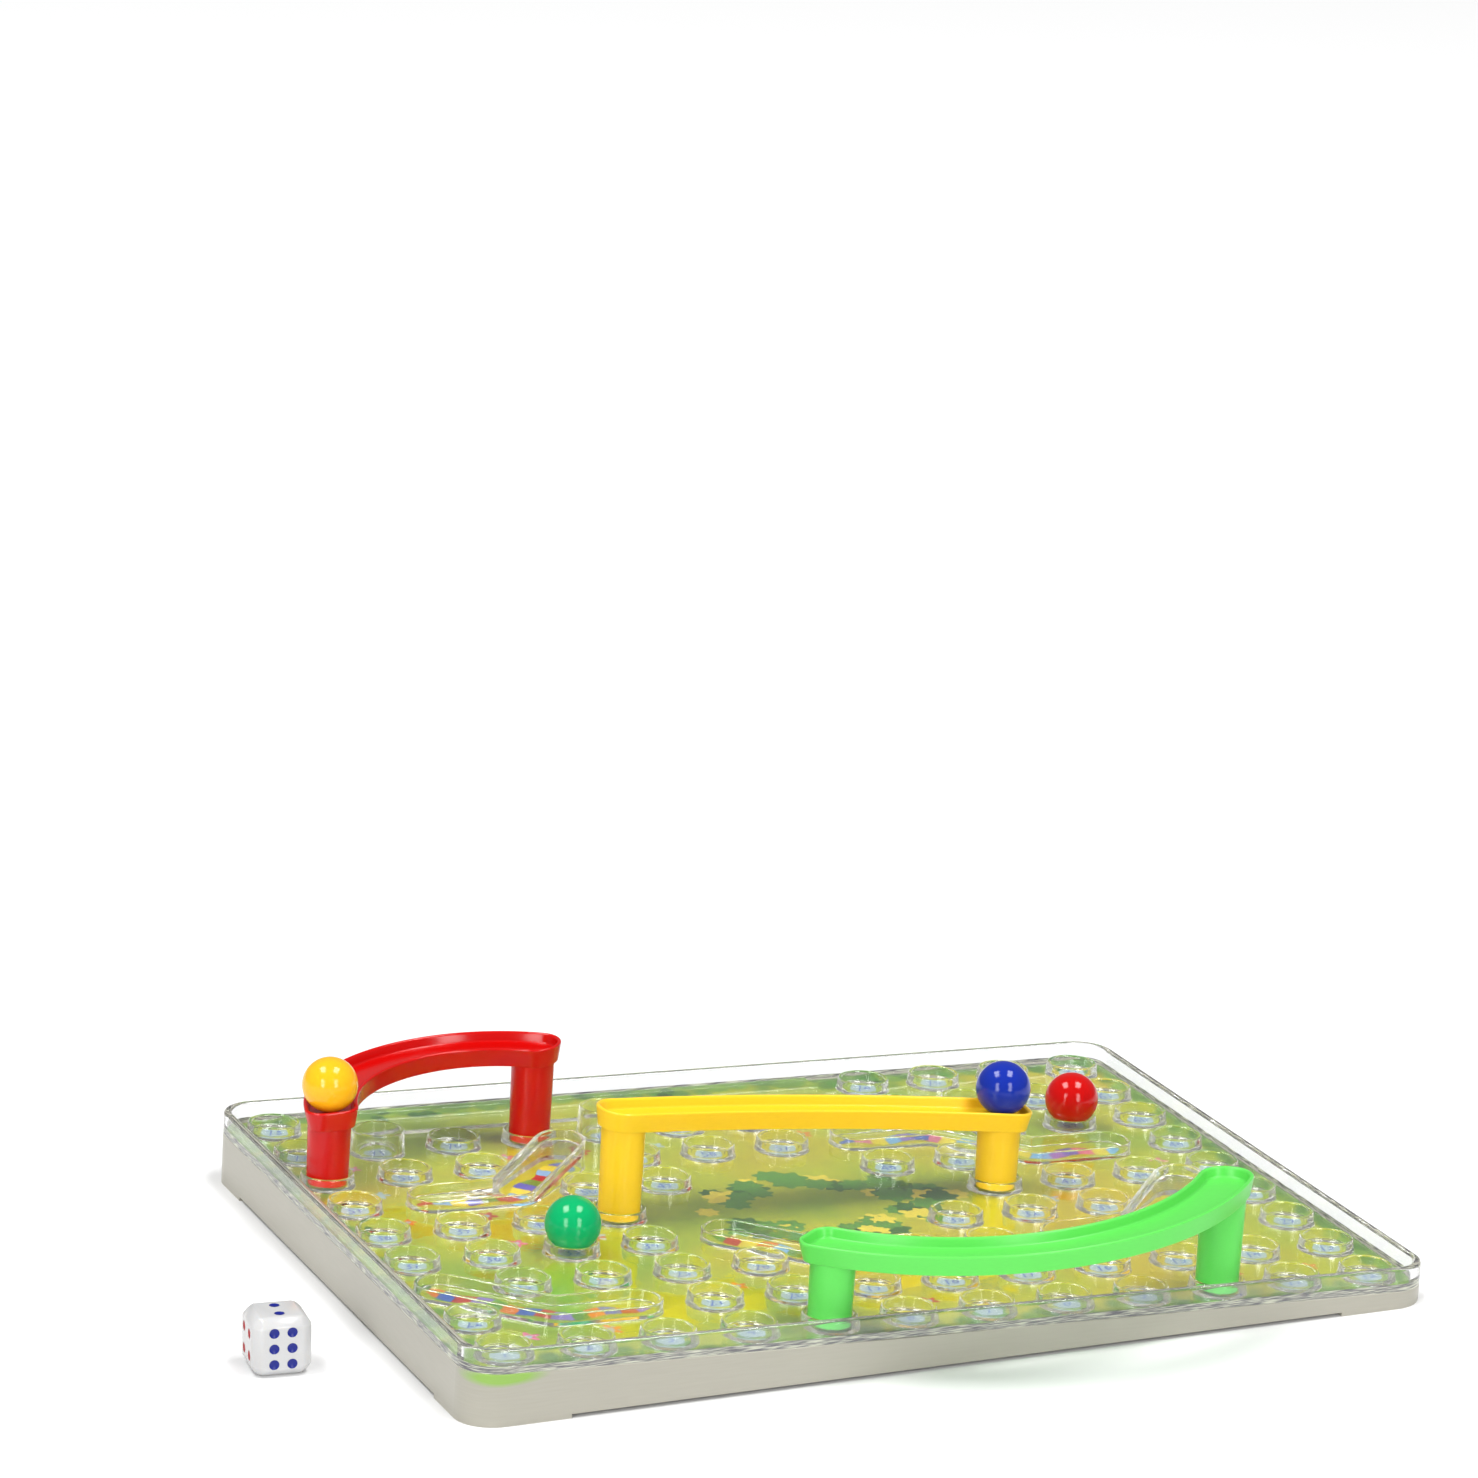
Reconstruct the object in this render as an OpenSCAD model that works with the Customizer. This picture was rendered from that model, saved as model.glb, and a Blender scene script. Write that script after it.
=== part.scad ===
// A snakes and ladders board moulded in clear plastic: a tray of numbered cups on a wedge shaped
// base, three coloured slides that plug into the cups on tubular legs, four balls and a die.
// The deck falls to the right, so a ball that is set on a slide or in a snake runs down it.

/* [Board] */
// Length of the board, left to right
board_l = 269.1; // [230:0.1:320]
// Width of the board, front to back
board_w = 200.6; // [170:0.2:240]
// Radius of the board's corners in plan
corner_r = 10; // [8:0.5:20]
// Height of the deck above the table at the left end
left_h = 15.1; // [12:0.1:22]
// Height of the deck above the table at the right end
right_h = 5.5; // [5.2:0.05:9]

/* [Top moulding] */
// Thickness of the deck
deck_t = 1.2; // [1.2:0.1:3]
// Height of the rim above the deck
rim_h = 5.2; // [3:0.1:9]
// Thickness of the rim
rim_t = 2.2; // [1.8:0.1:3]
// Height of the blank step behind the second row
step_h = 1; // [0.4:0.1:2]

/* [Cups] */
// Distance from the rim to the middle of the left column of cups
left_margin = 10.5; // [9:0.1:14]
// Distance from the rim to the middle of the right column of cups
right_margin = 12.2; // [9:0.1:14]
// Distance from the rim to the middle of the back row of cups
back_margin = 11.5; // [9:0.1:14]
// Distance from the rim to the middle of the front row of cups
front_margin = 8.7; // [8:0.1:14]
// Gap between a cup and a snake that passes it slantwise
cup_gap = 1.25; // [0.8:0.05:2.5]
// Wall of a cup
cup_wall = 1.1; // [0.8:0.05:1.2]
// Spread of a cup's outer face from its brim to the deck
cup_draft = 0.5; // [0.1:0.05:0.7]
// Height of a cup above the deck
cup_h = 3.3; // [2.6:0.1:4.5]
// Height of the taller waiting cup
waiting_cup_h = 6.8; // [5:0.1:8]
// Height of the tallest cup
tower_cup_h = 8.5; // [7:0.1:11]
// Thickness of the seat inside a cup
seat_t = 0.6; // [0.4:0.1:1]
// Diameter of the hole in the seat
seat_hole_d = 9.6; // [8:0.1:10.4]

/* [Snakes] */
// Height of a snake's walls where it lies level
snake_h = 3.3; // [2.6:0.1:4.5]
// Height of the walls at the head of a snake that climbs
snake_head_h = 7.6; // [6:0.1:9]

/* [Base] */
// Thickness of the base's walls
skirt_t = 2; // [1.6:0.1:2.6]
// Thickness of the panel that carries the card
panel_t = 1.6; // [1.2:0.1:2]
// Thickness of the printed card
card_t = 0.5; // [0.3:0.1:0.8]
// Height of the corner feet
foot_h = 1.1; // [0.6:0.1:2]
// Length of a corner foot along the front and back
foot_l = 27; // [20:1:40]
// Length of a corner foot along the sides
foot_w = 24; // [20:1:40]
// Height of the tongue that locates the top moulding
tongue_h = 0.8; // [0.5:0.05:0.85]
// Thickness of the tongue
tongue_t = 0.9; // [0.6:0.05:1.1]

/* [Slides] */
// Overhang of a slide's rims past its legs on each side
slide_over = 1.35; // [1.2:0.05:2]
// Wall of a slide
slide_wall = 1.2; // [1:0.05:1.3]
// Depth of the channel below the rims
slide_depth = 2.7; // [2:0.1:4]
// Height of the slide's sides
slide_h = 5.5; // [5:0.1:8]
// Inward lean of the sides, from the rim to the lower edge
slide_draft = 1; // [0:0.1:1.2]
// Overhang of a slide's end past its low leg
low_over = 2.25; // [1.4:0.05:4]
// Overhang of a slide's end past its high leg
high_over = 1.45; // [1.2:0.05:4]
// Roundness of a slide's low end: the radius of its corners, as a share of half its width
low_round_share = 0.68; // [0.5:0.01:0.95]
// Roundness of a slide's high end
high_round_share = 0.93; // [0.5:0.01:0.95]
// Rim height above the deck at the low end of the long slides
long_low_h = 23.2; // [20:0.1:27]
// Rim height above the deck at the high end of the long slides
long_high_h = 31.2; // [28:0.1:36]
// Rim height above the deck at the low end of the short slide
short_low_h = 22.9; // [20:0.1:25]
// Rim height above the deck at the high end of the short slide
short_high_h = 28.6; // [26:0.1:32]
// Sideways bow of the red slide
red_bow = 18; // [14:0.5:22]
// Sideways bow of the yellow slide
yellow_bow = 3.3; // [2:0.1:6]
// Sideways bow of the green slide
green_bow = 24.6; // [18:0.2:30]

/* [Legs] */
// Growth of a leg's diameter from its foot to its slide
leg_taper = 0.7; // [0.2:0.1:1]
// Wall of a leg
leg_wall = 1.2; // [0.9:0.05:1.5]
// Depth of the boss that closes the top of a leg
boss_h = 2; // [1:0.1:4]

/* [Balls and die] */
// Excess of a ball's diameter over the bore of a cup
ball_over = 2.8; // [1.5:0.1:3.2]
// Length of the die's edges
die_w = 15.4; // [12:0.1:18]
// Radius of the die's edges
die_r = 2.8; // [1:0.1:3]
// Diameter of a pip
pip_d = 2.7; // [1.5:0.1:3]
// Depth of a pip
pip_depth = 0.4; // [0.2:0.05:0.6]
// Distance from the board's left end to the middle of the die
die_gap = 30.4; // [15:0.1:60]
// Place of the die in front of the board's middle
die_front = 43.4; // [0:0.1:90]
// Turn of the die
die_turn = -6; // [-40:1:40]

/* [Fits] */
// Play between the tongue and its groove, and round the card
tray_play = 0.15; // [0.1:0.05:0.3]
// Play round the foot of a leg in its cup
leg_play = 0.45; // [0.3:0.05:0.8]
// Play between a leg's boss and its slide
boss_play = 0.15; // [0.1:0.05:0.3]
// Gap kept under a ball that rests or rolls
ball_play = 0.3; // [0.2:0.05:0.4]
// Gap kept under the foot of a leg
foot_play = 0.2; // [0.1:0.05:0.3]

/* [Hidden] */
// Columns and rows of cells on the deck, counted from the left and from the back. Places on the
// grid are written in cells, as shares of the spacing
col_count = 12;
row_count = 9;
// Columns of the free cups in each row
row_cup_shares = [
    [1, 9, 10, 11, 12],
    [1, 3, 6, 7, 8, 9, 10, 11, 12],
    [2, 3, 5, 6, 7, 10, 12],
    [1, 4, 5, 8, 9, 12],
    [1, 2, 3, 10, 11, 12],
    [1, 2, 4, 8, 9, 10, 12],
    [2, 3, 4, 5, 8, 11, 12],
    [1, 4, 5, 6, 7, 8, 9, 10, 11, 12],
    [1, 2, 3, 4, 6, 7, 8, 9, 11, 12]
];
// Column and row of the cups that hold a leg, the low leg first
red_feet_shares = [[1, 3], [4, 2]];
yellow_feet_shares = [[9, 5], [4, 5]];
green_feet_shares = [[5, 9], [10, 9]];
// Column and row of the cups that hold a ball, and of the two tall cups
green_ball_share = [3, 6];
red_ball_share = [11, 3];
waiting_cup_share = [2, 2];
tower_cup_share = [5, 2];
// Turning points of each snake, from its tail to its head
snake_path_shares = [
    [[2, 4], [3, 4], [4, 3]],
    [[3, 8], [2, 8], [1, 7]],
    [[8, 3], [9, 3], [10, 4], [11, 4]],
    [[7, 7], [6, 7], [5, 6]],
    [[9, 7], [10, 7], [11, 6]]
];
// Snakes that climb to their head
climbing = [true, false, false, false, true];
// Columns and rows that the blank step spans
step_cols_share = [1.6, 8.4];
step_rows_share = [0.52, 1.42];

// Overrun of a cut past the face that it opens
cut = 1;
// Fall of the deck to the right
fall = atan((left_h - right_h) / board_l);
deck_h = (left_h + right_h) / 2;
card_top = -deck_t;
panel_top = card_top - card_t;
// Spacing of the cells, which lie between the margins
col_pitch = (board_l - 2 * rim_t - left_margin - right_margin) / (col_count - 1);
row_pitch = (board_w - 2 * rim_t - back_margin - front_margin) / (row_count - 1);
// Distance from a slanting run of a snake to the middle of the cup beside it
slant_pitch = col_pitch * row_pitch / sqrt(col_pitch * col_pitch + row_pitch * row_pitch);
// A cup fills that distance up to its gap, a leg fits the bore, and a ball rests on the brim
cup_r = (slant_pitch - cup_gap) / 2;
bore_r = cup_r - cup_wall;
leg_foot_r = bore_r - leg_play;
leg_top_r = leg_foot_r + leg_taper / 2;
slide_w = 2 * (leg_top_r + slide_over);
low_reach = leg_top_r + low_over;
high_reach = leg_top_r + high_over;
low_corner_r = low_round_share * slide_w / 2;
high_corner_r = high_round_share * slide_w / 2;
ball_r = bore_r + ball_over / 2;
// Height of a ball's centre over the deck when it sits on the brim of a cup
ball_sit_h = cup_h + sqrt(ball_r * ball_r - bore_r * bore_r) + ball_play;
// Facets of round pieces, steps of the round ends and bends of a snake and a slide, and the angle
// between two sections of a slide
round_fn = 64;
end_steps = 16;
turn_steps = 4;
corner_steps = 6;
bend_turn = 3;

clear = [0.86, 0.88, 0.86, 0.45];
smoke = [0.74, 0.72, 0.67, 0.8];
card_green = [0.72, 0.76, 0.12];
slide_red = [0.82, 0.1, 0.07];
slide_yellow = [1, 0.82, 0.13];
slide_green = [0.33, 0.92, 0.32];
ball_yellow = [1, 0.78, 0.15];
ball_blue = [0.1, 0.2, 0.65];
ball_red = [0.82, 0.05, 0.05];
ball_green = [0, 0.62, 0.37];
ivory = [0.94, 0.93, 0.88];

// Centre of a cup in the plane of the deck
function spot(cell) = [
    (cell[0] - (col_count + 1) / 2) * col_pitch + (left_margin - right_margin) / 2,
    ((row_count + 1) / 2 - cell[1]) * row_pitch + (front_margin - back_margin) / 2
];
function polar(r, a) = [r * cos(a), r * sin(a)];
function reversed(list) = [for (i = [len(list) - 1:-1:0]) list[i]];
function length_of(v) = sqrt(v[0] * v[0] + v[1] * v[1]);
function heading(v) = atan2(v[1], v[0]);

// Reach of the whole set from the board's middle: to the die on the left, the top of the rim on
// the right, the green slide's bow at the front and the board's own back
die_reach = (die_w / 2 - die_r) * (cos(die_turn) + abs(sin(die_turn))) + die_r;
set_left = board_l / 2 + die_gap + die_reach;
set_right = board_l / 2 * cos(fall) + rim_h * sin(fall);
set_front = max(board_w / 2, green_bow + slide_w / 2 - spot(green_feet_shares[0])[1]);
set_back = board_w / 2;

// Places its children round the board's middle. The origin lies on the table, under the middle of
// the whole set
module at_board() {
    translate([(set_left - set_right) / 2, (set_front - set_back) / 2, 0]) children();
}

// Places its children on the deck, whose surface is their plane of zero height
module on_deck() {
    at_board() translate([0, 0, deck_h]) rotate([0, fall, 0]) children();
}

// A flat box with round corners, centred in plan
module rounded_block(l, w, r, z0, z1) {
    translate([0, 0, z0]) {
        for (x = [-1, 1], y = [-1, 1])
            translate([x * (l / 2 - r), y * (w / 2 - r), 0])
                cylinder(r = r, h = z1 - z0, $fn = round_fn);
        translate([-l / 2 + r, -w / 2, 0]) cube([l - 2 * r, w, z1 - z0]);
        translate([-l / 2, -w / 2 + r, 0]) cube([l, w - 2 * r, z1 - z0]);
    }
}

// The same box, drawn in by an inset on every side
module inset_block(inset, z0, z1) {
    rounded_block(board_l - 2 * inset, board_w - 2 * inset, corner_r - inset, z0, z1);
}

// Tray: deck, rim, blank step and the groove that takes the base's tongue
module top_moulding() {
    low = spot([step_cols_share[0], step_rows_share[1]]);
    high = spot([step_cols_share[1], step_rows_share[0]]);
    color(clear) on_deck() {
        difference() {
            inset_block(0, -deck_t, rim_h);
            inset_block(rim_t, 0, rim_h + cut);
            difference() {
                inset_block(skirt_t - tongue_t - tray_play, -deck_t - cut, tongue_h + tray_play - deck_t);
                inset_block(skirt_t + tray_play, -deck_t - 2 * cut, tongue_h + tray_play);
            }
        }
        translate([low[0], low[1], 0]) cube([high[0] - low[0], high[1] - low[1], step_h]);
    }
}

// One cup: a short tube that spreads to the deck, with a narrow seat round the foot of its bore
module cup(cell, h = cup_h) {
    at = spot(cell);
    translate([at[0], at[1], 0]) difference() {
        cylinder(r1 = cup_r + cup_draft, r2 = cup_r, h = h, $fn = round_fn);
        translate([0, 0, seat_t]) cylinder(r = bore_r, h = h, $fn = round_fn);
        translate([0, 0, -cut]) cylinder(d = seat_hole_d, h = h, $fn = round_fn);
    }
}

module cups_in_row(row) {
    color(clear) on_deck() for (c = row_cup_shares[row - 1]) cup([c, row]);
}

module leg_cups() {
    color(clear) on_deck()
        for (cell = concat(red_feet_shares, yellow_feet_shares, green_feet_shares)) cup(cell);
}

module ball_cups() {
    color(clear) on_deck() for (cell = [green_ball_share, red_ball_share]) cup(cell);
}

module tall_cups() {
    color(clear) on_deck() {
        cup(waiting_cup_share, waiting_cup_h);
        cup(tower_cup_share, tower_cup_h);
    }
}

// One side of a track along a path, and the round end that it leads to
function flank(path, r) =
    let (
        last = len(path) - 1,
        ways = [for (i = [0:last - 1]) heading(path[i + 1] - path[i])]
    )
    concat(
        [for (i = [1:1:last - 1])
            let (turn = (ways[i] - ways[i - 1] + 540) % 360 - 180)
            each turn > 0
                ? [path[i] + polar(r / cos(turn / 2), ways[i - 1] + 90 + turn / 2)]
                : [for (k = [0:turn_steps]) path[i] + polar(r, ways[i - 1] + 90 + turn * k / turn_steps)]],
        [for (k = [0:end_steps]) path[last] + polar(r, ways[last - 1] + 90 - 180 * k / end_steps)]
    );
module track(path, r, z0, z1) {
    translate([0, 0, z0]) linear_extrude(height = z1 - z0)
        polygon(concat(flank(path, r), flank(reversed(path), r)));
}

// Everything on the deck below a height, and below the ramp that rises from it along the last run
module ground(path, climbs, height) {
    last = len(path) - 1;
    run = path[last] - path[last - 1];
    climb = snake_head_h - snake_h;
    deep = 2 * snake_head_h;
    translate([-board_l, -board_w, -deep]) cube([2 * board_l, 2 * board_w, deep + height]);
    if (climbs) translate([path[last - 1][0], path[last - 1][1], height])
        rotate([0, 0, heading(run)]) rotate([0, -atan(climb / length_of(run)), 0])
            translate([-2 * cup_r, -4 * cup_r, -deep]) cube([length_of(run) + 6 * cup_r, 8 * cup_r, deep]);
}

// A snake: a walled channel through two or three cells, which may climb along its last run
module snake(number) {
    path = [for (cell = snake_path_shares[number - 1]) spot(cell)];
    climbs = climbing[number - 1];
    tall = snake_head_h + 2 * cup_r;
    color(clear) on_deck() difference() {
        intersection() {
            track(path, cup_r, 0, tall);
            ground(path, climbs, snake_h);
        }
        difference() {
            track(path, bore_r, -cut, tall + cut);
            ground(path, climbs, seat_t);
        }
    }
}

// Card that lies on the base's panel, just inside the tongue
module printed_card() {
    color(card_green) on_deck() inset_block(skirt_t + tray_play, panel_top, card_top);
}

// Everything below the table
module below_table(h = 0) {
    translate([-board_l, -board_w, -board_l]) cube([2 * board_l, 2 * board_w, board_l + h]);
}

// Base: a wedge of four walls and the panel under the card, cut level where it stands
module base() {
    color(smoke) difference() {
        on_deck() {
            difference() {
                inset_block(0, -2 * left_h, card_top);
                inset_block(skirt_t, -2 * left_h - cut, cut);
            }
            difference() {
                inset_block(skirt_t - tongue_t, card_top, card_top + tongue_h);
                inset_block(skirt_t, card_top - cut, card_top + tongue_h + cut);
            }
            inset_block(skirt_t, panel_top - panel_t, panel_top);
        }
        at_board() below_table();
        at_board() intersection() {
            below_table(foot_h);
            union() {
                translate([-board_l / 2 + foot_l, -board_w, -cut])
                    cube([board_l - 2 * foot_l, 2 * board_w, cut + foot_h]);
                translate([-board_l, -board_w / 2 + foot_w, -cut])
                    cube([2 * board_l, board_w - 2 * foot_w, cut + foot_h]);
            }
        }
    }
}

// Inward step of a slide's sides at a depth below the rims
function lean(depth) = slide_draft * depth / slide_h;

// Profile of a slide's side, from the hollow below the floor, over the rim, to the floor of the
// channel. Each point is [inset from the widest outline, height above the rim]
slide_break = slide_wall / 4;
floor_under = slide_depth + slide_wall;
slide_profile = [
    [slide_wall + lean(floor_under), -floor_under],
    [slide_wall + slide_draft, -slide_h],
    [slide_draft, -slide_h],
    [lean(slide_break), -slide_break],
    [slide_break, 0],
    [slide_wall - slide_break, 0],
    [slide_wall + lean(slide_break), -slide_break],
    [slide_wall + lean(slide_depth), -slide_depth]
];

// Sizes of a slide between two cups: chord, tilt, radius and half angle of its arc
function chord(feet) = length_of(spot(feet[1]) - spot(feet[0]));
function tilt(feet, low, high) = atan((high - low) / chord(feet));
function slope_l(feet, low, high) = chord(feet) / cos(tilt(feet, low, high));
function bend_r(l, bow) = (l * l / 4 + bow * bow) / (2 * bow);

// One long side of the channel's outline: a corner, the bend and the other corner. Edge is 1 for
// the outer side of the bend and -1 for the inner one, and corners holds the radius at each end
function long_side(r, half, corners, inset, edge, bends) =
    let (
        centres = [for (rc = corners) r + edge * (slide_w / 2 - rc)],
        turns = [for (k = [0, 1]) asin(corners[k] / centres[k])],
        back = edge > 0 ? 0 : 180,
        start = turns[0] - half,
        end = half - turns[1]
    )
    concat(
        [for (i = [0:corner_steps])
            let (a = -half - 90 + (turns[0] + 90 - back) * i / corner_steps)
            polar(centres[0], start) + polar(corners[0] - inset, a)],
        [for (i = [1:bends - 1])
            polar(r + edge * (slide_w / 2 - inset), start + (end - start) * i / bends)],
        [for (i = [0:corner_steps])
            let (a = end + back + (90 + turns[1] - back) * i / corner_steps)
            polar(centres[1], end) + polar(corners[1] - inset, a)]
    );

// A channel that bends about the origin, its middle on the +X axis and its rim at zero height:
// one closed skin, drawn through the profile's outlines
module channel(r, half, corners) {
    bends = 2 * ceil(half / bend_turn);
    rings = [for (p = slide_profile) [
        for (q = concat(
            long_side(r, half, corners, p[0], 1, bends),
            reversed(long_side(r, half, corners, p[0], -1, bends))
        )) [q[0], q[1], p[1]]
    ]];
    n = len(rings[0]);
    top = (len(rings) - 1) * n;
    polyhedron(
        points = [for (ring = rings, q = ring) q],
        faces = concat(
            [for (k = [0:len(rings) - 2], j = [0:n - 1])
                [k * n + j, (k + 1) * n + j, (k + 1) * n + (j + 1) % n, k * n + (j + 1) % n]],
            [for (j = [0:n / 2 - 2]) [j, j + 1, n - 2 - j, n - 1 - j]],
            [for (j = [0:n / 2 - 2]) [top + j, top + n - 1 - j, top + n - 2 - j, top + j + 1]]
        )
    );
}

// Places its children over the low cup, with +X towards the high cup along the deck
module from_foot(feet) {
    low = spot(feet[0]);
    on_deck() translate([low[0], low[1], 0]) rotate([0, 0, heading(spot(feet[1]) - low)]) children();
}

// Places its children on the plane of a slide's rims, at its low leg
module on_slide(feet, low, high) {
    from_foot(feet) translate([0, 0, low]) rotate([0, -tilt(feet, low, high), 0]) children();
}

// A slide between two cups. Side is 1 or -1, for the way it bows. It reaches further past its low
// leg than past its high one, so its middle is turned a little to the low end
module slide(feet, low, high, bow, side) {
    l = slope_l(feet, low, high);
    r = bend_r(l, bow);
    half = asin(l / 2 / r) + (low_reach + high_reach) / 2 / r * 180 / PI;
    turn = (low_reach - high_reach) / 2 / r * 180 / PI;
    corners = side > 0 ? [high_corner_r, low_corner_r] : [low_corner_r, high_corner_r];
    on_slide(feet, low, high) translate([l / 2, side * (bow - r), 0])
        rotate([0, 0, side * (90 + turn)]) channel(r, half, corners);
}

// A leg: a tapered tube from its cup to the lower edge of the slide, closed at its top by a boss
// that sits between the slide's sides
module leg(feet, low, high, end) {
    top = end == 0 ? low : high;
    foot = seat_t + foot_play;
    l = slope_l(feet, low, high);
    boss_r = leg_top_r + min(slide_over, low_over, high_over) - slide_wall - slide_draft - boss_play;
    difference() {
        from_foot(feet) translate([end * chord(feet), 0, foot])
            cylinder(r1 = leg_foot_r, r2 = leg_top_r, h = top - foot, $fn = round_fn);
        from_foot(feet) translate([end * chord(feet), 0, foot - cut])
            cylinder(r = leg_top_r - leg_wall, h = top + cut, $fn = round_fn);
        on_slide(feet, low, high) translate([-l, -l, -slide_h]) cube([3 * l, 2 * l, 2 * high]);
    }
    on_slide(feet, low, high) translate([end * l, 0, -slide_h - boss_h])
        cylinder(r = boss_r, h = boss_h + slide_h - floor_under - boss_play, $fn = round_fn);
}

// A ball that has rolled to the low end of a slide
module slide_ball(feet, low, high) {
    on_slide(feet, low, high) translate([0, 0, ball_r + ball_play - slide_depth])
        sphere(r = ball_r, $fn = round_fn);
}

// A ball in the brim of a cup
module cup_ball(cell) {
    at = spot(cell);
    on_deck() translate([at[0], at[1], ball_sit_h]) sphere(r = ball_r, $fn = round_fn);
}

// A square bar with round edges along its length
module soft_bar(w, r) {
    s = w - 2 * r;
    cube([w, s, w], center = true);
    cube([s, w, w], center = true);
    for (x = [-s, s] / 2, y = [-s, s] / 2)
        translate([x, y, 0]) cylinder(r = r, h = w, center = true, $fn = round_fn);
}

// A cube with round edges and eased corners
module soft_cube(w, r) {
    intersection() {
        soft_bar(w, r);
        rotate([90, 0, 0]) soft_bar(w, r);
        rotate([0, 90, 0]) soft_bar(w, r);
        sphere(r = w * die_corner_share, $fn = round_fn);
    }
}

// Distance from the die's middle to its corners, as a share of its width
die_corner_share = 0.69;
// Places of the pips on a face, as shares of the die's width from its middle
one_shares = [[0, 0]];
two_shares = [[0, -0.19], [0, 0.19]];
three_shares = [[-0.2, 0.2], [0, 0], [0.2, -0.2]];
four_shares = [[-0.19, -0.19], [-0.19, 0.19], [0.19, -0.19], [0.19, 0.19]];
six_shares = [[-0.15, -0.27], [-0.15, 0], [-0.15, 0.27], [0.15, -0.27], [0.15, 0], [0.15, 0.27]];
face_shares = [two_shares, concat(four_shares, one_shares), six_shares, one_shares, four_shares,
    three_shares];
// Turns that bring the top of the die to each face: top, under, front, back, left and right
face_turns = [[0, 0, 0], [180, 0, 0], [90, 0, 0], [-90, 0, 0], [0, -90, 0], [0, 90, 0]];

// Die: each pip is a shallow hollow
module die() {
    pip_r = pip_d / 2;
    hollow_r = (pip_r * pip_r + pip_depth * pip_depth) / (2 * pip_depth);
    color(ivory) at_board() translate([-board_l / 2 - die_gap, -die_front, die_w / 2])
        rotate([0, 0, die_turn]) difference() {
            soft_cube(die_w, die_r);
            for (f = [0:5], p = face_shares[f]) rotate(face_turns[f])
                translate([p[0] * die_w, p[1] * die_w, die_w / 2 - pip_depth + hollow_r])
                    sphere(r = hollow_r, $fn = round_fn);
        }
}

module red_slide() {
    color(slide_red) slide(red_feet_shares, short_low_h, short_high_h, red_bow, 1);
}
module red_low_leg() { color(slide_red) leg(red_feet_shares, short_low_h, short_high_h, 0); }
module red_high_leg() { color(slide_red) leg(red_feet_shares, short_low_h, short_high_h, 1); }
module yellow_slide() {
    color(slide_yellow) slide(yellow_feet_shares, long_low_h, long_high_h, yellow_bow, -1);
}
module yellow_low_leg() { color(slide_yellow) leg(yellow_feet_shares, long_low_h, long_high_h, 0); }
module yellow_high_leg() { color(slide_yellow) leg(yellow_feet_shares, long_low_h, long_high_h, 1); }
module green_slide() {
    color(slide_green) slide(green_feet_shares, long_low_h, long_high_h, green_bow, -1);
}
module green_low_leg() { color(slide_green) leg(green_feet_shares, long_low_h, long_high_h, 0); }
module green_high_leg() { color(slide_green) leg(green_feet_shares, long_low_h, long_high_h, 1); }
module yellow_ball() { color(ball_yellow) slide_ball(red_feet_shares, short_low_h, short_high_h); }
module blue_ball() { color(ball_blue) slide_ball(yellow_feet_shares, long_low_h, long_high_h); }
module red_ball() { color(ball_red) cup_ball(red_ball_share); }
module green_ball() { color(ball_green) cup_ball(green_ball_share); }

top_moulding();
cups_in_row(1);  // cups_row_1
cups_in_row(2);  // cups_row_2
cups_in_row(3);  // cups_row_3
cups_in_row(4);  // cups_row_4
cups_in_row(5);  // cups_row_5
cups_in_row(6);  // cups_row_6
cups_in_row(7);  // cups_row_7
cups_in_row(8);  // cups_row_8
cups_in_row(9);  // cups_row_9
leg_cups();
ball_cups();
tall_cups();
snake(1);  // snake_1
snake(2);  // snake_2
snake(3);  // snake_3
snake(4);  // snake_4
snake(5);  // snake_5
printed_card();
base();
red_slide();
red_low_leg();
red_high_leg();
yellow_slide();
yellow_low_leg();
yellow_high_leg();
green_slide();
green_low_leg();
green_high_leg();
yellow_ball();
blue_ball();
red_ball();
green_ball();
die();
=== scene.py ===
# %% [markdown]
# # A snakes and ladders board
# The game is a tray of small clear cups over a printed card. It stands on a sloping base, and
# three coloured slides plug into the cups on tubular legs. Four balls and a die go with it.
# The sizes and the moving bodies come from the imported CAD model. This script dresses them with
# smooth meshes and materials made of shader nodes, then adds a floor, lights and a camera.

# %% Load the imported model
import math
import random
import bpy
import bmesh
from mathutils import Matrix, Vector
from mathutils.geometry import delaunay_2d_cdt


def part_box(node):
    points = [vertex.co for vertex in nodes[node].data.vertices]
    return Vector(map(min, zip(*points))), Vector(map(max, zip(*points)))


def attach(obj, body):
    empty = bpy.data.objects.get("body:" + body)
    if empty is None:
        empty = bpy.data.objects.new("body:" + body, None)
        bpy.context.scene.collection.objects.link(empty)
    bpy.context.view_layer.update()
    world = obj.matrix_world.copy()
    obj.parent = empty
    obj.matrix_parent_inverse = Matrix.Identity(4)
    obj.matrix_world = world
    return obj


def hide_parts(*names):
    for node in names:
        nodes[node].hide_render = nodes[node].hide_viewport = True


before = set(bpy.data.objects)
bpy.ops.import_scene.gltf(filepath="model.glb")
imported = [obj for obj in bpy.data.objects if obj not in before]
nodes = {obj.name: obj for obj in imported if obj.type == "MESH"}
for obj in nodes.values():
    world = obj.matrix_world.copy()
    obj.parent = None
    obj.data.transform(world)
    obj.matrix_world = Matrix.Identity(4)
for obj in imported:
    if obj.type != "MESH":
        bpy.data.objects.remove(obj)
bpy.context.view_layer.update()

# %% [markdown]
# ## The deck's own frame
# The deck falls about two degrees to the right. It is far easier to draw every cup and slide on a
# level deck, in millimetres, and to tilt the finished points with one matrix. A matrix product is
# read from right to left: scale to metres, tilt about Y, then lift to the deck's height.

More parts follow.
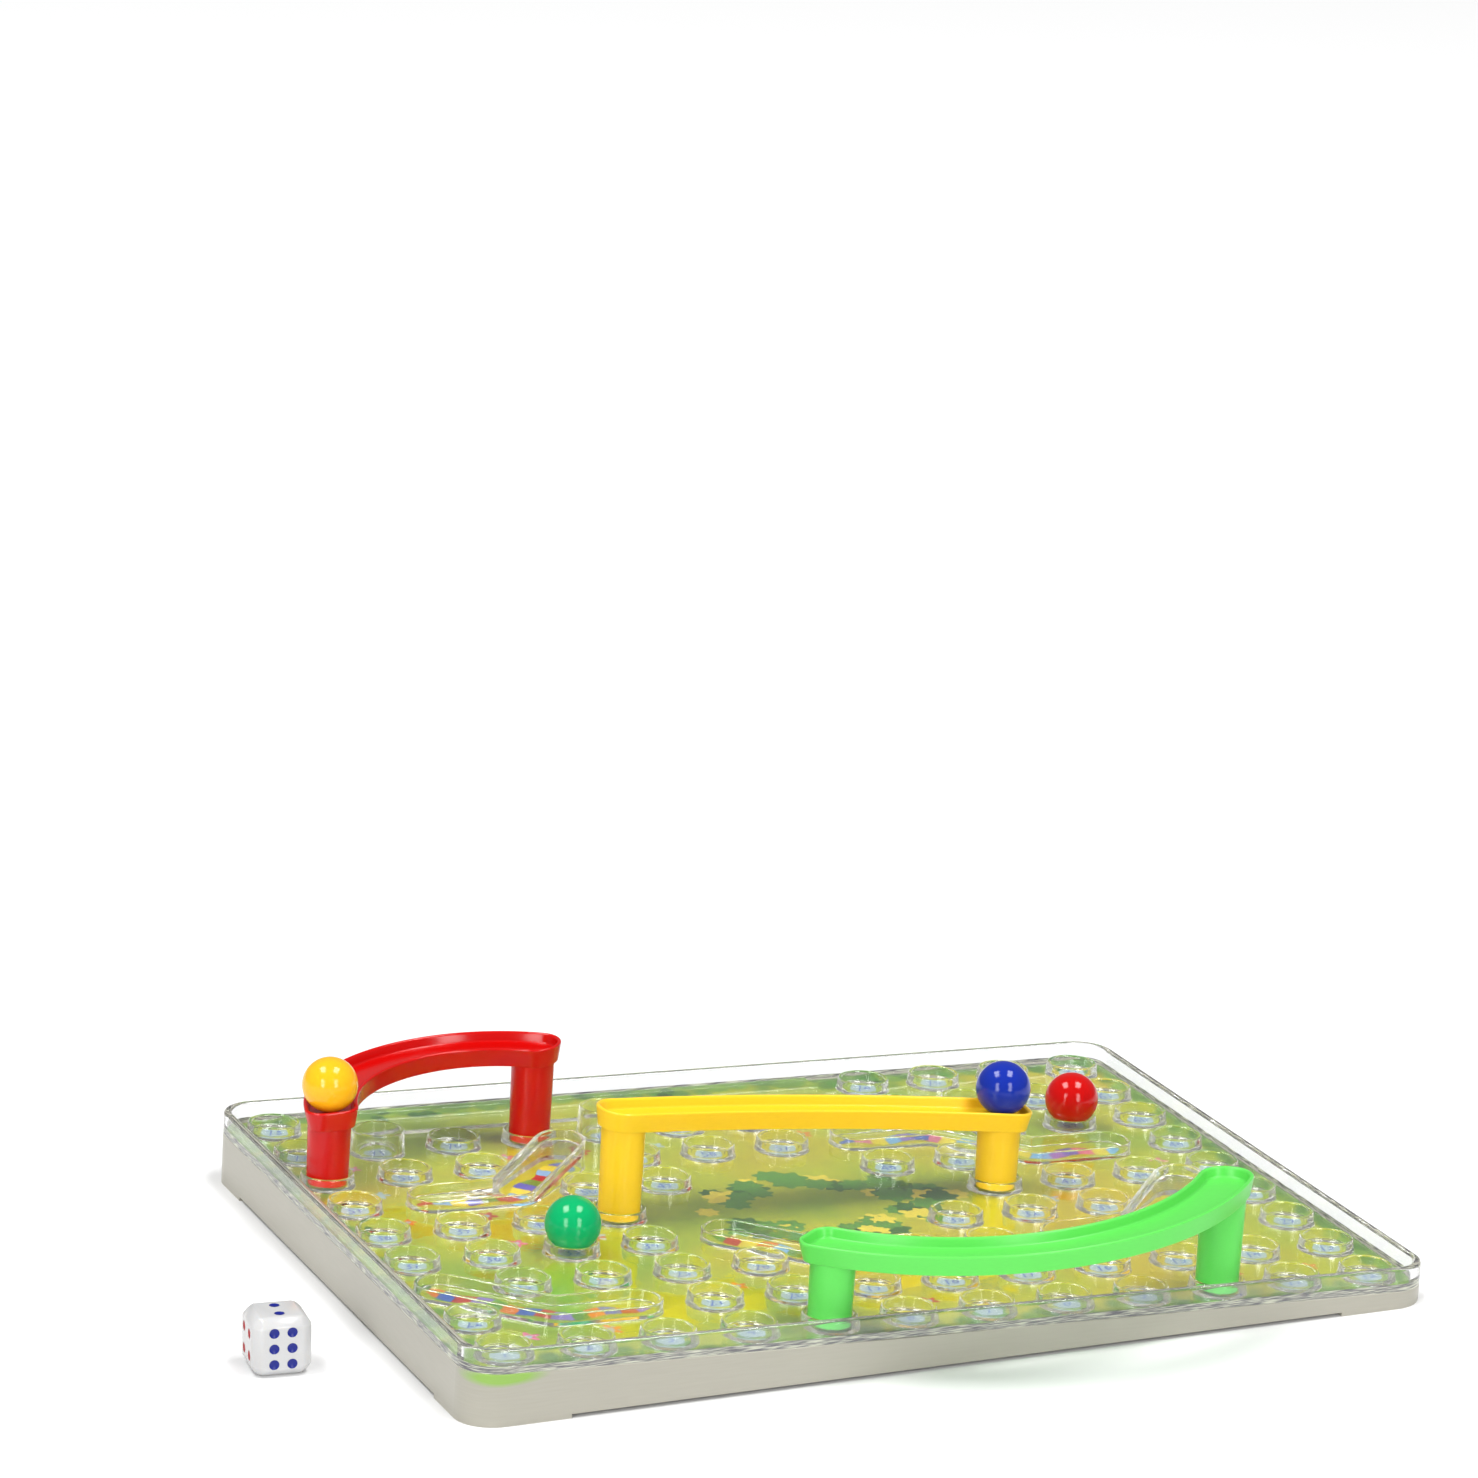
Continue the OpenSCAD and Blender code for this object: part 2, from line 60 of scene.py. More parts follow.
# %% Place the deck
MM = 0.001
BOARD_L, BOARD_W, CORNER_R = 269.1, 200.6, 10.0
LEFT_H, RIGHT_H, DECK_T = 15.1, 5.5, 1.2
PITCH, SHIFT = 22.0, Vector((-0.85, -1.4))
MIDDLE_COLUMN, MIDDLE_ROW = 6.5, 5
BOARD_AT = Vector((19.24275, 10.50159, 0))
FALL = math.atan((LEFT_H - RIGHT_H) / BOARD_L)
DECK = (Matrix.Translation((BOARD_AT + Vector((0, 0, (LEFT_H + RIGHT_H) / 2))) * MM)
        @ Matrix.Rotation(FALL, 4, "Y") @ Matrix.Scale(MM, 4))


def spot(cell):
    """Centre of a cup on the deck, from its column and row."""
    return Vector(((cell[0] - MIDDLE_COLUMN) * PITCH, (MIDDLE_ROW - cell[1]) * PITCH)) + SHIFT


print("deck falls by", round(math.degrees(FALL), 2), "degrees")

# %% [markdown]
# ## The camera
# The picture is a long-lens product shot from the front left, a little above the board. A matrix
# holds the view: its columns are the camera's right, its up and the way back from what it sees.

# %% Set the camera
right = Vector((0.92063834, -0.38957384, 0.02563719))
up = Vector((0.08018518, 0.25294234, 0.96415274))
back = Vector((-0.38209342, -0.88558026, 0.26410646))
CAMERA_FROM_BOARD = Vector((-626.05, -1394.8, 556.5))
cam_data = bpy.data.cameras.new("camera")
cam_data.lens, cam_data.sensor_width = 147.31, 36.0
cam_data.clip_end = 50.0
camera = bpy.data.objects.new("camera", cam_data)
bpy.context.scene.collection.objects.link(camera)
view = Matrix((right, up, back)).transposed().to_4x4()
view.translation = (CAMERA_FROM_BOARD + BOARD_AT) * MM
camera.matrix_world = view
bpy.context.scene.camera = camera
print("camera stands", round(view.translation.length, 2), "m from the board's middle")

# %% [markdown]
# ## Helpers for materials
# Even plain plastic or paper drifts a little in tone, and one flat colour gives a model away.
# A painted image could show that, but a noise run through a colour ramp needs no image, has no
# seams and never repeats. Each material starts from the same few nodes, so functions add them.

# %% Nodes that every material shares
def shader(name):
    """A new material with an empty node tree, its Principled shader and its output."""
    made = bpy.data.materials.new(name)
    made.use_nodes = True
    tree = made.node_tree
    return made, tree, tree.nodes["Principled BSDF"], tree.nodes["Material Output"]


def tones(tree, value, stops):
    """Turns a value into a colour, by stops of a position and a colour."""
    ramp = tree.nodes.new("ShaderNodeValToRGB")
    ends = (ramp.color_ramp.elements[0], stops[0]), (ramp.color_ramp.elements[1], stops[-1])
    for element, (position, colour) in ends:
        element.position, element.color = position, colour
    for position, colour in stops[1:-1]:
        ramp.color_ramp.elements.new(position).color = colour
    tree.links.new(value, ramp.inputs["Fac"])
    return ramp.outputs["Color"]


def clouds(tree, scale, stops, detail=2.0, at=None):
    """A soft noise that drifts through the colours of its stops."""
    noise = tree.nodes.new("ShaderNodeTexNoise")
    noise.inputs["Scale"].default_value, noise.inputs["Detail"].default_value = scale, detail
    if at:
        tree.links.new(at, noise.inputs["Vector"])
    return tones(tree, noise.outputs["Fac"], stops)


print("helpers for materials are ready")

# %% [markdown]
# ## Floor and light
# A white sweep and soft light keep the colours clean. Two tall soft boxes hang above the camera,
# side by side, because glossy balls show them as a pair of small windows. The even light of the
# world fills the shadows and gives the clear plastic something pale to bend. Light crosses dozens
# of clear walls here, so the paths may be long: too few bounces would turn the cups black.

# %% Build the floor
floor_paint, tree, paint, _ = shader("floor_paint")
drift = clouds(tree, 3.0, [(0, (0.85, 0.85, 0.85, 1)), (1, (0.87, 0.87, 0.87, 1))])
tree.links.new(drift, paint.inputs["Base Color"])
paint.inputs["Roughness"].default_value = 0.9
paint.inputs["Specular IOR Level"].default_value = 0.1
floor_mesh = bpy.data.meshes.new("floor")
floor_mesh.from_pydata([(-8, -8, 0), (8, -8, 0), (8, 12, 0), (-8, 12, 0)], [], [(0, 1, 2, 3)])
floor = bpy.data.objects.new("floor", floor_mesh)
floor.data.materials.append(floor_paint)
bpy.context.scene.collection.objects.link(floor)

world = bpy.data.worlds.new("studio")
world.use_nodes = True
world.node_tree.nodes["Background"].inputs["Color"].default_value = (1, 1, 1, 1)
world.node_tree.nodes["Background"].inputs["Strength"].default_value = 0.26
bpy.context.scene.world = world
bpy.context.scene.view_settings.view_transform = "Standard"
paths = bpy.context.scene.cycles
paths.transparent_max_bounces = 48
paths.max_bounces, paths.transmission_bounces, paths.glossy_bounces = 64, 64, 64
print("floor", floor.name, "and world", world.name, "are in place")

# %% [markdown]
# A lamp is turned so that its long side stands upright in the picture, and hangs far away, so
# that every ball shows the same pair of highlights. The second pair of lamps stands low, because
# upright walls such as legs would stay dark under the first pair alone.

# %% Hang the lamps
def soft_box(name, way, distance, size, watts):
    """A rectangular light that faces the board from a direction given in the camera's frame."""
    data = bpy.data.lights.new(name, "AREA")
    data.shape, data.size, data.size_y, data.energy = "RECTANGLE", size[0], size[1], watts
    lamp = bpy.data.objects.new(name, data)
    bpy.context.scene.collection.objects.link(lamp)
    aim = (right * way[0] + up * way[1] + back * way[2]).normalized()
    level = (right - aim * right.dot(aim)).normalized()
    lamp.matrix_world = Matrix((level, aim.cross(level), aim)).transposed().to_4x4()
    lamp.location = aim * distance
    return lamp.name


lamps = []
for name, (across, above, behind), distance, size, watts in (
        ("window", (0.39, 0.87, 0.31), 8, (2.4, 4.0), 350),
        ("fill", (0.46, 0.12, 0.88), 6, (1.5, 3.6), 135)):
    lamps.append(soft_box("left_" + name, (-across, above, behind), distance, size, watts))
    lamps.append(soft_box("right_" + name, (across, above, behind), distance, size, watts))
print("lamps:", lamps)

# %% [markdown]
# ## Coloured plastics
# Slides and balls are moulded in glossy plastic. A mould leaves faint waves on it, which show in
# the highlights. They are far too fine for a mesh, so a bump in the material stands for them.
# Colours are written as a screen shows them, from 0 to 255, and turned into linear light.

# %% Waves and colours
def ripples(tree, plastic, scale, strength, height):
    """A faint bump, for the waves that a moulding has."""
    wave = tree.nodes.new("ShaderNodeTexNoise")
    wave.inputs["Scale"].default_value = scale
    bump = tree.nodes.new("ShaderNodeBump")
    bump.inputs["Strength"].default_value, bump.inputs["Distance"].default_value = strength, height
    tree.links.new(wave.outputs["Fac"], bump.inputs["Height"])
    tree.links.new(bump.outputs["Normal"], plastic.inputs["Normal"])


def linear(*rgb):
    """Screen colours from 0 to 255, as the linear colour that a shader takes."""
    return tuple(((c / 255 + 0.055) / 1.055) ** 2.4 for c in rgb) + (1,)


print("mid grey on screen is", round(linear(128)[0], 3), "in linear light")

# %% [markdown]
# A plain colour looks painted on. So a little light goes below the surface, and a slow noise
# shifts the colour. One function makes all the plastics, as one maker's granules would: they
# differ in colour, in gloss and in how deep the light goes.

# %% Make the coloured plastics
def moulded(name, rgb, deep=0.06, rough=0.22, ripple=0.02):
    """Glossy plastic of one colour, with a slow shift of tone and a faint ripple."""
    made, tree, plastic, _ = shader(name)
    red, green, blue, _ = linear(*rgb)
    stops = [(0, (red * 0.93, green * 0.93, blue * 0.93, 1)),
             (1, tuple(min(1, c * 1.06) for c in (red, green, blue)) + (1,))]
    tree.links.new(clouds(tree, 60.0, stops, detail=3.0), plastic.inputs["Base Color"])
    ripples(tree, plastic, 420.0, ripple, 0.0004)
    plastic.inputs["Roughness"].default_value = rough
    plastic.inputs["Specular IOR Level"].default_value = 0.36
    plastic.inputs["Subsurface Weight"].default_value = deep
    plastic.inputs["Subsurface Radius"].default_value = (0.004, 0.003, 0.002)
    plastic.inputs["Subsurface Scale"].default_value = 0.6
    return made


plastics = {
    "red_slide": moulded("slide_red", (196, 4, 1), rough=0.16),
    "yellow_slide": moulded("slide_yellow", (255, 202, 38), deep=0.12),
    "green_slide": moulded("slide_green", (94, 210, 86), deep=0.15, rough=0.3),
    "yellow_ball": moulded("ball_yellow", (255, 180, 26), deep=0.15, rough=0.1),
    "blue_ball": moulded("ball_blue", (18, 44, 155), rough=0.08),
    "red_ball": moulded("ball_red", (194, 3, 2), rough=0.08),
    "green_ball": moulded("ball_green", (0, 166, 98), rough=0.1),
}
print(len(plastics), "coloured plastics")

# %% [markdown]
# ## Clear plastic
# The tray is clear, slightly grey polystyrene. The Principled shader bends light when Transmission
# is 1. True bending would leave the card under it in the dark, because lamps can't aim through
# bent surfaces. So shadow rays meet a Transparent shader and the card is lit as in life.

# %% Make the clear plastic
clear, tree, plastic, output = shader("clear_plastic")
plastic.inputs["Base Color"].default_value = (0.90, 0.905, 0.92, 1)
plastic.inputs["Transmission Weight"].default_value = 1.0
plastic.inputs["Roughness"].default_value = 0.02
plastic.inputs["IOR"].default_value = 1.55
ripples(tree, plastic, 110.0, 0.02, 0.0006)
through = tree.nodes.new("ShaderNodeBsdfTransparent")
through.inputs["Color"].default_value = (0.96, 0.96, 0.96, 1)
path = tree.nodes.new("ShaderNodeLightPath")
either = tree.nodes.new("ShaderNodeMixShader")
tree.links.new(path.outputs["Is Shadow Ray"], either.inputs["Fac"])
tree.links.new(plastic.outputs["BSDF"], either.inputs[1])
tree.links.new(through.outputs["BSDF"], either.inputs[2])
tree.links.new(either.outputs["Shader"], output.inputs["Surface"])
print("clear plastic bends light by", plastic.inputs["IOR"].default_value)

# %% [markdown]
# ## Painted shade on the base
# The base is greyish plastic, dense enough to look solid, and its grey is painted shade: it stands
# for the shaded floor under the board, seen through a clear skirt. The card's green edge shines
# through it at the front left corner. Making the plastic clear would show the hollow inside as
# well, so a green patch is mixed in by the distance from that corner, squashed flat like the
# card's edge.

# %% Make the base's painted shade
def reckon(tree, kind, operation, *parts):
    """A node that calculates. Each part is a socket to link, or a fixed value."""
    made = tree.nodes.new(kind)
    made.operation = operation
    for socket, part in zip(made.inputs, parts):
        if isinstance(part, bpy.types.NodeSocket):
            tree.links.new(part, socket)
        else:
            socket.default_value = part
    return made.outputs


def fade(tree, value, start, end, strength=1.0):
    """Falls from a strength to nothing while the value goes from start to end."""
    made = tree.nodes.new("ShaderNodeMapRange")
    made.inputs["From Min"].default_value, made.inputs["From Max"].default_value = start, end
    made.inputs["To Min"].default_value, made.inputs["To Max"].default_value = strength, 0.0
    tree.links.new(value, made.inputs["Value"])
    return made.outputs["Result"]


GLOW_AT = DECK @ Vector((-BOARD_L / 2 + 9, -BOARD_W / 2 + 1, -2))
GLOW_SQUASH = (85, 85, 420)
base_painted_shade, tree, plastic, _ = shader("smoke_plastic")
# Painted shade: these grey tones stand for the shaded floor under the board, seen through the
# skirt.
painted_floor_shade = clouds(tree, 25.0, [(0, linear(160, 157, 145)), (1, linear(169, 166, 154))])
where = tree.nodes.new("ShaderNodeTexCoord")
away = reckon(tree, "ShaderNodeVectorMath", "SUBTRACT", where.outputs["Object"], GLOW_AT)
flat = reckon(tree, "ShaderNodeVectorMath", "MULTIPLY", away["Vector"], GLOW_SQUASH)
far = reckon(tree, "ShaderNodeVectorMath", "LENGTH", flat["Vector"])
greened = tree.nodes.new("ShaderNodeMix")
greened.data_type = "RGBA"
greened.inputs["B"].default_value = linear(128, 178, 42)
tree.links.new(fade(tree, far["Value"], 0.55, 1.05, strength=0.8), greened.inputs["Factor"])
tree.links.new(painted_floor_shade, greened.inputs["A"])
tree.links.new(greened.outputs["Result"], plastic.inputs["Base Color"])
plastic.inputs["Roughness"].default_value = 0.32
plastic.inputs["Subsurface Weight"].default_value = 0.2
plastic.inputs["Subsurface Radius"].default_value = (0.006, 0.006, 0.005)
print("the corner glows green at", [round(c, 3) for c in GLOW_AT])

# %% [markdown]
# ## Skins
# Most pieces here are skins drawn through rows of points: a cup, a rim, a slide. A small class
# keeps the points and joins two rows of the same length with a band of four-sided faces. A flat
# sheet with many holes is filled with triangles that keep every outline's edges, and the
# triangles whose middle lies in a hole are left out.

# %% A class for skins
WELD = 0.0005


class Skin:
    """Points and faces of one piece, in the deck's frame and in millimetres."""

    def __init__(self):
        self.points, self.faces, self.paint = [], [], []

    def row(self, points):
        start = len(self.points)
        self.points += [tuple(p) for p in points]
        return list(range(start, len(self.points)))

    def lid(self, row, paint=0):
        self.faces.append(tuple(row))
        self.paint.append(paint)

    def band(self, a, b, closed=True, paint=0):
        for i in range(len(a) if closed else len(a) - 1):
            j = (i + 1) % len(a)
            self.lid((a[i], a[j], b[j], b[i]), paint)

    def draw(self, outlines, paint=0):
        """Joins outlines of the same length, from the first to the last."""
        rows = [self.row(outline) for outline in outlines]
        for a, b in zip(rows, rows[1:]):
            self.band(a, b, paint=paint)
        return rows

    def fold(self, row):
        """Closes a long outline by joining one side to the other."""
        half = len(row) // 2
        self.band(row[:half], row[half:][::-1], closed=False)

    def sheet(self, outlines, in_hole):
        """Fills the first outline, leaving the others open as holes."""
        flat, edges = [], []
        for outline in outlines:
            first, count = len(flat), len(outline)
            flat += [Vector(p[:2]) for p in outline]
            edges += [(first + i, first + (i + 1) % count) for i in range(count)]
        points, _, triangles, *_ = delaunay_2d_cdt(flat, edges, [], 0, 1e-5)
        row = self.row([(p.x, p.y, outlines[0][0][2]) for p in points])
        for tri in triangles:
            if not in_hole(sum((points[i] for i in tri), Vector((0, 0))) / 3):
                self.lid(row[i] for i in tri)

    def piece(self, name, body, slot, paints, sharp=35, place=DECK):
        """Makes the object, and says which body it rides on. The slot argument is not used."""
        mesh = bpy.data.meshes.new(name)
        mesh.from_pydata(self.points, [], self.faces)
        mesh.polygons.foreach_set("material_index", self.paint)
        work = bmesh.new()
        work.from_mesh(mesh)
        bmesh.ops.remove_doubles(work, verts=work.verts, dist=WELD)
        bmesh.ops.recalc_face_normals(work, faces=work.faces)
        work.to_mesh(mesh)
        work.free()
        mesh.transform(place)
        for p in paints:
            mesh.materials.append(p)
        mesh.polygons.foreach_set("use_smooth", [True] * len(mesh.polygons))
        mesh.set_sharp_from_angle(angle=math.radians(sharp))
        made = bpy.data.objects.new(name, mesh)
        bpy.context.scene.collection.objects.link(made)
        even = made.modifiers.new("even", "WEIGHTED_NORMAL")
        even.keep_sharp, even.weight = True, 80
        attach(made, body)
        print(name, len(mesh.polygons), "faces")
        return made


print("points closer than", WELD, "mm are welded")

# %% [markdown]
# Clear plastic shows every flaw of its shading. A large flat face that meets a small rounding
# takes a wrong slope from it, and the plastic then bends light as if it were wedge-shaped. So each
# piece above has a Weighted Normal modifier, which lets the large faces decide. Two outlines
# come back all the time: a circle, and the board's rounded rectangle.

# %% Circles and the board's outline
def circle(centre, r, z, count=48):
    return [(centre[0] + r * math.cos(math.tau * i / count),
             centre[1] + r * math.sin(math.tau * i / count), z) for i in range(count)]


def rounded(inset, z, steps=12):
    """The board's outline, drawn in by an inset."""
    r, points = CORNER_R - inset, []
    for sx, sy, turn in ((1, 1, 0), (-1, 1, 1), (-1, -1, 2), (1, -1, 3)):
        for i in range(steps + 1):
            a = math.radians(90 * (turn + i / steps))
            points.append((sx * (BOARD_L / 2 - CORNER_R) + r * math.cos(a),
                           sy * (BOARD_W / 2 - CORNER_R) + r * math.sin(a), z))
    return points


print("the board's outline has", len(rounded(0, 0)), "points")

# %% [markdown]
# ## Tracks for the snakes
# A snake on this board is a walled channel that bends from cell to cell. Its outline is a path
# made wide: a round end, a point or an arc at each bend, and another round end. The left and the
# right side get equal numbers of points, so that any two outlines can be joined by bands.

# %% Outline of a track
END_STEPS, BEND_STEPS = 10, 4


def track(path, r):
    """A path widened by r, as one closed outline: up its right side and down its left."""
    ways = [(b - a).normalized() for a, b in zip(path, path[1:])]
    left, right_side = [], []

    def add(centre, angle_l, angle_r, reach_l=1.0, reach_r=1.0):
        left.append(centre + Vector((math.cos(angle_l), math.sin(angle_l))) * r * reach_l)
        right_side.append(centre + Vector((math.cos(angle_r), math.sin(angle_r))) * r * reach_r)

    start = math.atan2(ways[0].y, ways[0].x)
    for i in range(END_STEPS + 1):
        quarter = math.pi / 2 * i / END_STEPS
        add(path[0], start + math.pi - quarter, start + math.pi + quarter)
    for k in range(1, len(path) - 1):
        a0 = math.atan2(ways[k - 1].y, ways[k - 1].x)
        turn = ways[k].angle_signed(ways[k - 1])
        mitre, reach = a0 + turn / 2, 1 / math.cos(turn / 2)
        for i in range(BEND_STEPS + 1):
            swing = a0 + turn * i / BEND_STEPS
            if turn > 0:
                add(path[k], mitre + math.pi / 2, swing - math.pi / 2, reach, 1)
            else:
                add(path[k], swing + math.pi / 2, mitre - math.pi / 2, 1, reach)
    last = math.atan2(ways[-1].y, ways[-1].x)
    for i in range(END_STEPS + 1):
        quarter = math.pi / 2 * i / END_STEPS
        add(path[-1], last + math.pi / 2 - quarter, last - math.pi / 2 + quarter)
    return right_side + left[::-1]


print("a straight track has", len(track([Vector((0, 0)), Vector((PITCH, 0))], 7)), "points")

# %% [markdown]
# ## The clear tray
# On the real game the deck, its rim, the cups and the snakes are one moulding. So they are one
# closed mesh here: light then bends only at real surfaces. Some cells have no cup, because a
# snake lies there, and two cups near the back stand taller than the rest.

# %% Where the cups and snakes are
cup_rows = [
    [1, 9, 10, 11, 12], list(range(1, 13)), [1, 2, 3, 5, 6, 7, 10, 11, 12], [1, 4, 5, 8, 9, 12],
    [1, 2, 3, 4, 9, 10, 11, 12], [1, 2, 3, 4, 8, 9, 10, 12], [2, 3, 4, 5, 8, 11, 12],
    [1] + list(range(4, 13)), list(range(1, 13)),
]
CUP_R, BORE_R, CUP_H, SEAT, HOLE_R = 7.15, 6.05, 3.3, 0.6, 4.8
tall = {(2, 2): 6.8, (5, 2): 8.5}
cups = {(c, r + 1): tall.get((c, r + 1), CUP_H) for r, row in enumerate(cup_rows) for c in row}
snakes = [  # cells from tail to head, and whether the last run climbs
    ([(2, 4), (3, 4), (4, 3)], True), ([(3, 8), (2, 8), (1, 7)], False),
    ([(8, 3), (9, 3), (10, 4), (11, 4)], False), ([(7, 7), (6, 7), (5, 6)], False),
    ([(9, 7), (10, 7), (11, 6)], True),
]
HEAD_H = 7.6
print(len(cups), "cups and", len(snakes), "snakes")

# %% [markdown]
# The tray's side is one profile, from its foot over the rim and down to the deck, swept round the
# board's outline. The flat deck is a sheet with a hole for each cup and snake, and each cup's
# skin starts from the very points of its hole. Cutting them with booleans would leave ragged
# faces that clear plastic shows. A low blank step stands between the tall cups and the rim.

# %% Draw the tray's side and deck
tray = Skin()
UNDER, RIM_H, RIM_T, ROUND = 0.08 - DECK_T, 5.2, 2.2, 0.8
SPREAD, FILLET, STEP_H = 0.35, 0.2, 1.0
CUP_FOOT = CUP_R + SPREAD + FILLET
tray_side = [  # inset from the outline, height above the deck
    (0.3, UNDER), (0.08, UNDER + 0.08), (0, UNDER + 0.3), (0, RIM_H - ROUND),
    (0.1, RIM_H - ROUND / 2), (0.4, RIM_H - 0.1), (ROUND, RIM_H), (RIM_T - ROUND, RIM_H),
    (RIM_T - 0.4, RIM_H - 0.1), (RIM_T - 0.1, RIM_H - ROUND / 2), (RIM_T, RIM_H - ROUND),
    (RIM_T, 0.5), (RIM_T + 0.15, 0.15), (RIM_T + 0.5, 0)]
tray.draw([rounded(inset, z) for inset, z in tray_side])
deck_edge = rounded(RIM_T + 0.5, 0)
cup_holes = [circle(spot(c), CUP_FOOT, 0) for c in cups]
snake_holes = [[(p.x, p.y, 0) for p in track([spot(c) for c in cells], CUP_R + FILLET)]
               for cells, _ in snakes]
low, high = spot((1.6, 1.42)), spot((8.4, 0.52))
step = [[(low.x + i, low.y + i, z), (high.x - i, low.y + i, z), (high.x - i, high.y - i, z),
         (low.x + i, high.y - i, z)] for i, z in ((0, 0), (0.1, STEP_H - 0.2), (0.3, STEP_H))]


def inside(point, outline):
    """Counts the outline's edges to the right of the point: an odd number means inside."""
    hits = 0
    for (x0, y0, *_), (x1, y1, *_) in zip(outline, outline[1:] + outline[:1]):
        if (y0 > point.y) != (y1 > point.y):
            hits += point.x < x0 + (point.y - y0) * (x1 - x0) / (y1 - y0)
    return hits % 2 == 1


def off_deck(point):
    """True outside the deck, and in the hole of a cup, a snake or the step."""
    if any((point - spot(c)).length < CUP_FOOT * 0.996 for c in cups):
        return True
    return not inside(point, deck_edge) or any(inside(point, h) for h in snake_holes + step[:1])


tray.sheet([deck_edge] + cup_holes + snake_holes + step[:1], off_deck)
tray.lid(tray.draw(step)[-1])
print("deck with", len(cup_holes) + len(snake_holes) + 1, "holes and", len(tray.faces), "faces")

# %% [markdown]
# A cup is a short tube with a rounded lip. A ball rests on the ring of its seat, whose hole
# keeps the ball from rolling. All its points come from one section turned about the cup's centre.

# %% Raise the cups
for cell, h in cups.items():
    section = [(CUP_FOOT, 0), (CUP_R + SPREAD + 0.08, 0.08), (CUP_R + SPREAD, FILLET),
               (CUP_R + 0.05, h - 0.4), (CUP_R - 0.1, h - 0.15), (CUP_R - 0.35, h),
               (BORE_R + 0.35, h), (BORE_R + 0.1, h - 0.15), (BORE_R, h - 0.4),
               (BORE_R, SEAT + 0.3), (BORE_R - 0.1, SEAT + 0.08), (BORE_R - 0.3, SEAT),
               (HOLE_R + 0.2, SEAT), (HOLE_R, SEAT - 0.2), (HOLE_R, 0)]
    tray.lid(tray.draw([circle(spot(cell), r, z) for r, z in section])[-1])
print("cups raised, tallest", max(cups.values()), "mm")

# %% [markdown]
# A snake that climbs has a floor and walls that rise along its last run. The rise is a plain
# function of a point's place along that run, so the same outlines serve flat and climbing snakes.
# A moulding keeps its walls thin, so a climbing run is hollow underneath, as a thick lump of clear
# plastic would bend the card below it out of sight.

# %% Raise the snakes
RAMP_T, HOLLOW_R = 1.3, BORE_R - 0.2
snake_section = [  # half width, height, and whether the height follows the climb
    (CUP_R + FILLET, 0, 0), (CUP_R + 0.1, 0.1, 0), (CUP_R, FILLET, 0), (CUP_R, CUP_H - 0.4, 1),
    (CUP_R - 0.1, CUP_H - 0.15, 1), (CUP_R - 0.35, CUP_H, 1), (BORE_R + 0.35, CUP_H, 1),
    (BORE_R + 0.1, CUP_H - 0.15, 1), (BORE_R, CUP_H - 0.4, 1), (BORE_R, SEAT + 0.5, 1),
    (BORE_R - 0.15, SEAT + 0.15, 1), (BORE_R - 0.5, SEAT, 1)]


def rise(path, climbs, point):
    """How far the floor has climbed at a point of the snake."""
    if not climbs:
        return 0.0
    run = path[-1] - path[-2]
    along = (Vector(point) - path[-2]).dot(run) / run.length_squared
    return (HEAD_H - CUP_H) * max(0.0, along)


hollows = []
for cells, climbs in snakes:
    path = [spot(c) for c in cells]
    rows = tray.draw([[(p.x, p.y, z + follows * rise(path, climbs, p)) for p in track(path, r)]
                      for r, z, follows in snake_section])
    tray.fold(rows[-1])
    if climbs:
        foot = path[-2] + (path[-1] - path[-2]).normalized() * BORE_R
        outline = track([foot, path[-1]], HOLLOW_R)
        hollows.append([(p.x, p.y, UNDER) for p in outline])
        roof = [(p.x, p.y, max(UNDER + 0.1, SEAT - RAMP_T + rise(path, climbs, p)))
                for p in outline]
        top = tray.row(roof)
        tray.band(tray.row(hollows[-1]), top)
        tray.fold(top)
print(len(hollows), "snakes climb, to", HEAD_H, "mm")

# %% [markdown]
# The underside closes the skin: a flat sheet with an opening under each climbing run. With that,
# the tray is watertight, so every ray that goes in also comes out. It stands in for all the
# solids of the moulding.

# %% Close the tray's underside
def in_hollow(point):
    return any(inside(point, h) for h in hollows)


tray.sheet([rounded(0.3, UNDER)] + hollows, in_hollow)
clear_nodes = ["top_moulding", "leg_cups", "ball_cups", "tall_cups"]
clear_nodes += [f"cups_row_{i}" for i in range(1, 10)] + [f"snake_{i}" for i in range(1, 6)]
clear_tray = tray.piece("clear_tray", "board", "clear_plastic", [clear], sharp=40)
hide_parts(*clear_nodes)

# %% [markdown]
# Top and base meet in a seam that shows through the clear side as an uneven grey line with a few
# bright ticks. A thin strip inside the wall stands for it: its grey is painted shade, its bright
# ticks are painted glints, and a stretched noise breaks its tone.

# %% Draw the seam inside the clear side
SEAM_OUT, SEAM_IN, SEAM_TOP = 0.6, 0.8, 0.8
seam_shade_and_glints, tree, grey, _ = shader("seam_shade_and_glints")
# Painted shade and painted glints: dark grey for the seam's shade, pale for its bright ticks.
breaks = clouds(tree, 48.0, [(0.44, linear(90, 88, 94)), (0.62, linear(198, 200, 180))])
tree.links.new(breaks, grey.inputs["Base Color"])
grey.inputs["Roughness"].default_value = 0.4
seam = Skin()
rows = seam.draw([rounded(SEAM_OUT, UNDER + 0.1), rounded(SEAM_OUT, SEAM_TOP),
                  rounded(SEAM_IN, SEAM_TOP), rounded(SEAM_IN, UNDER + 0.1)])
seam.band(rows[-1], rows[0])
seam.piece("seam_strip", "board", "smoke_plastic", [seam_shade_and_glints])

# %% [markdown]
# ## The base
# The base is a shallow wedge of grey plastic, open underneath, and its grey is painted shade. The
# CAD solid already has its walls, its feet and its open underside, so it stays and only gets its
# material.

# %% Dress the base
def dress(node, material):
    """Gives a node of the CAD model its material."""
    nodes[node].data.materials.clear()
    nodes[node].data.materials.append(material)


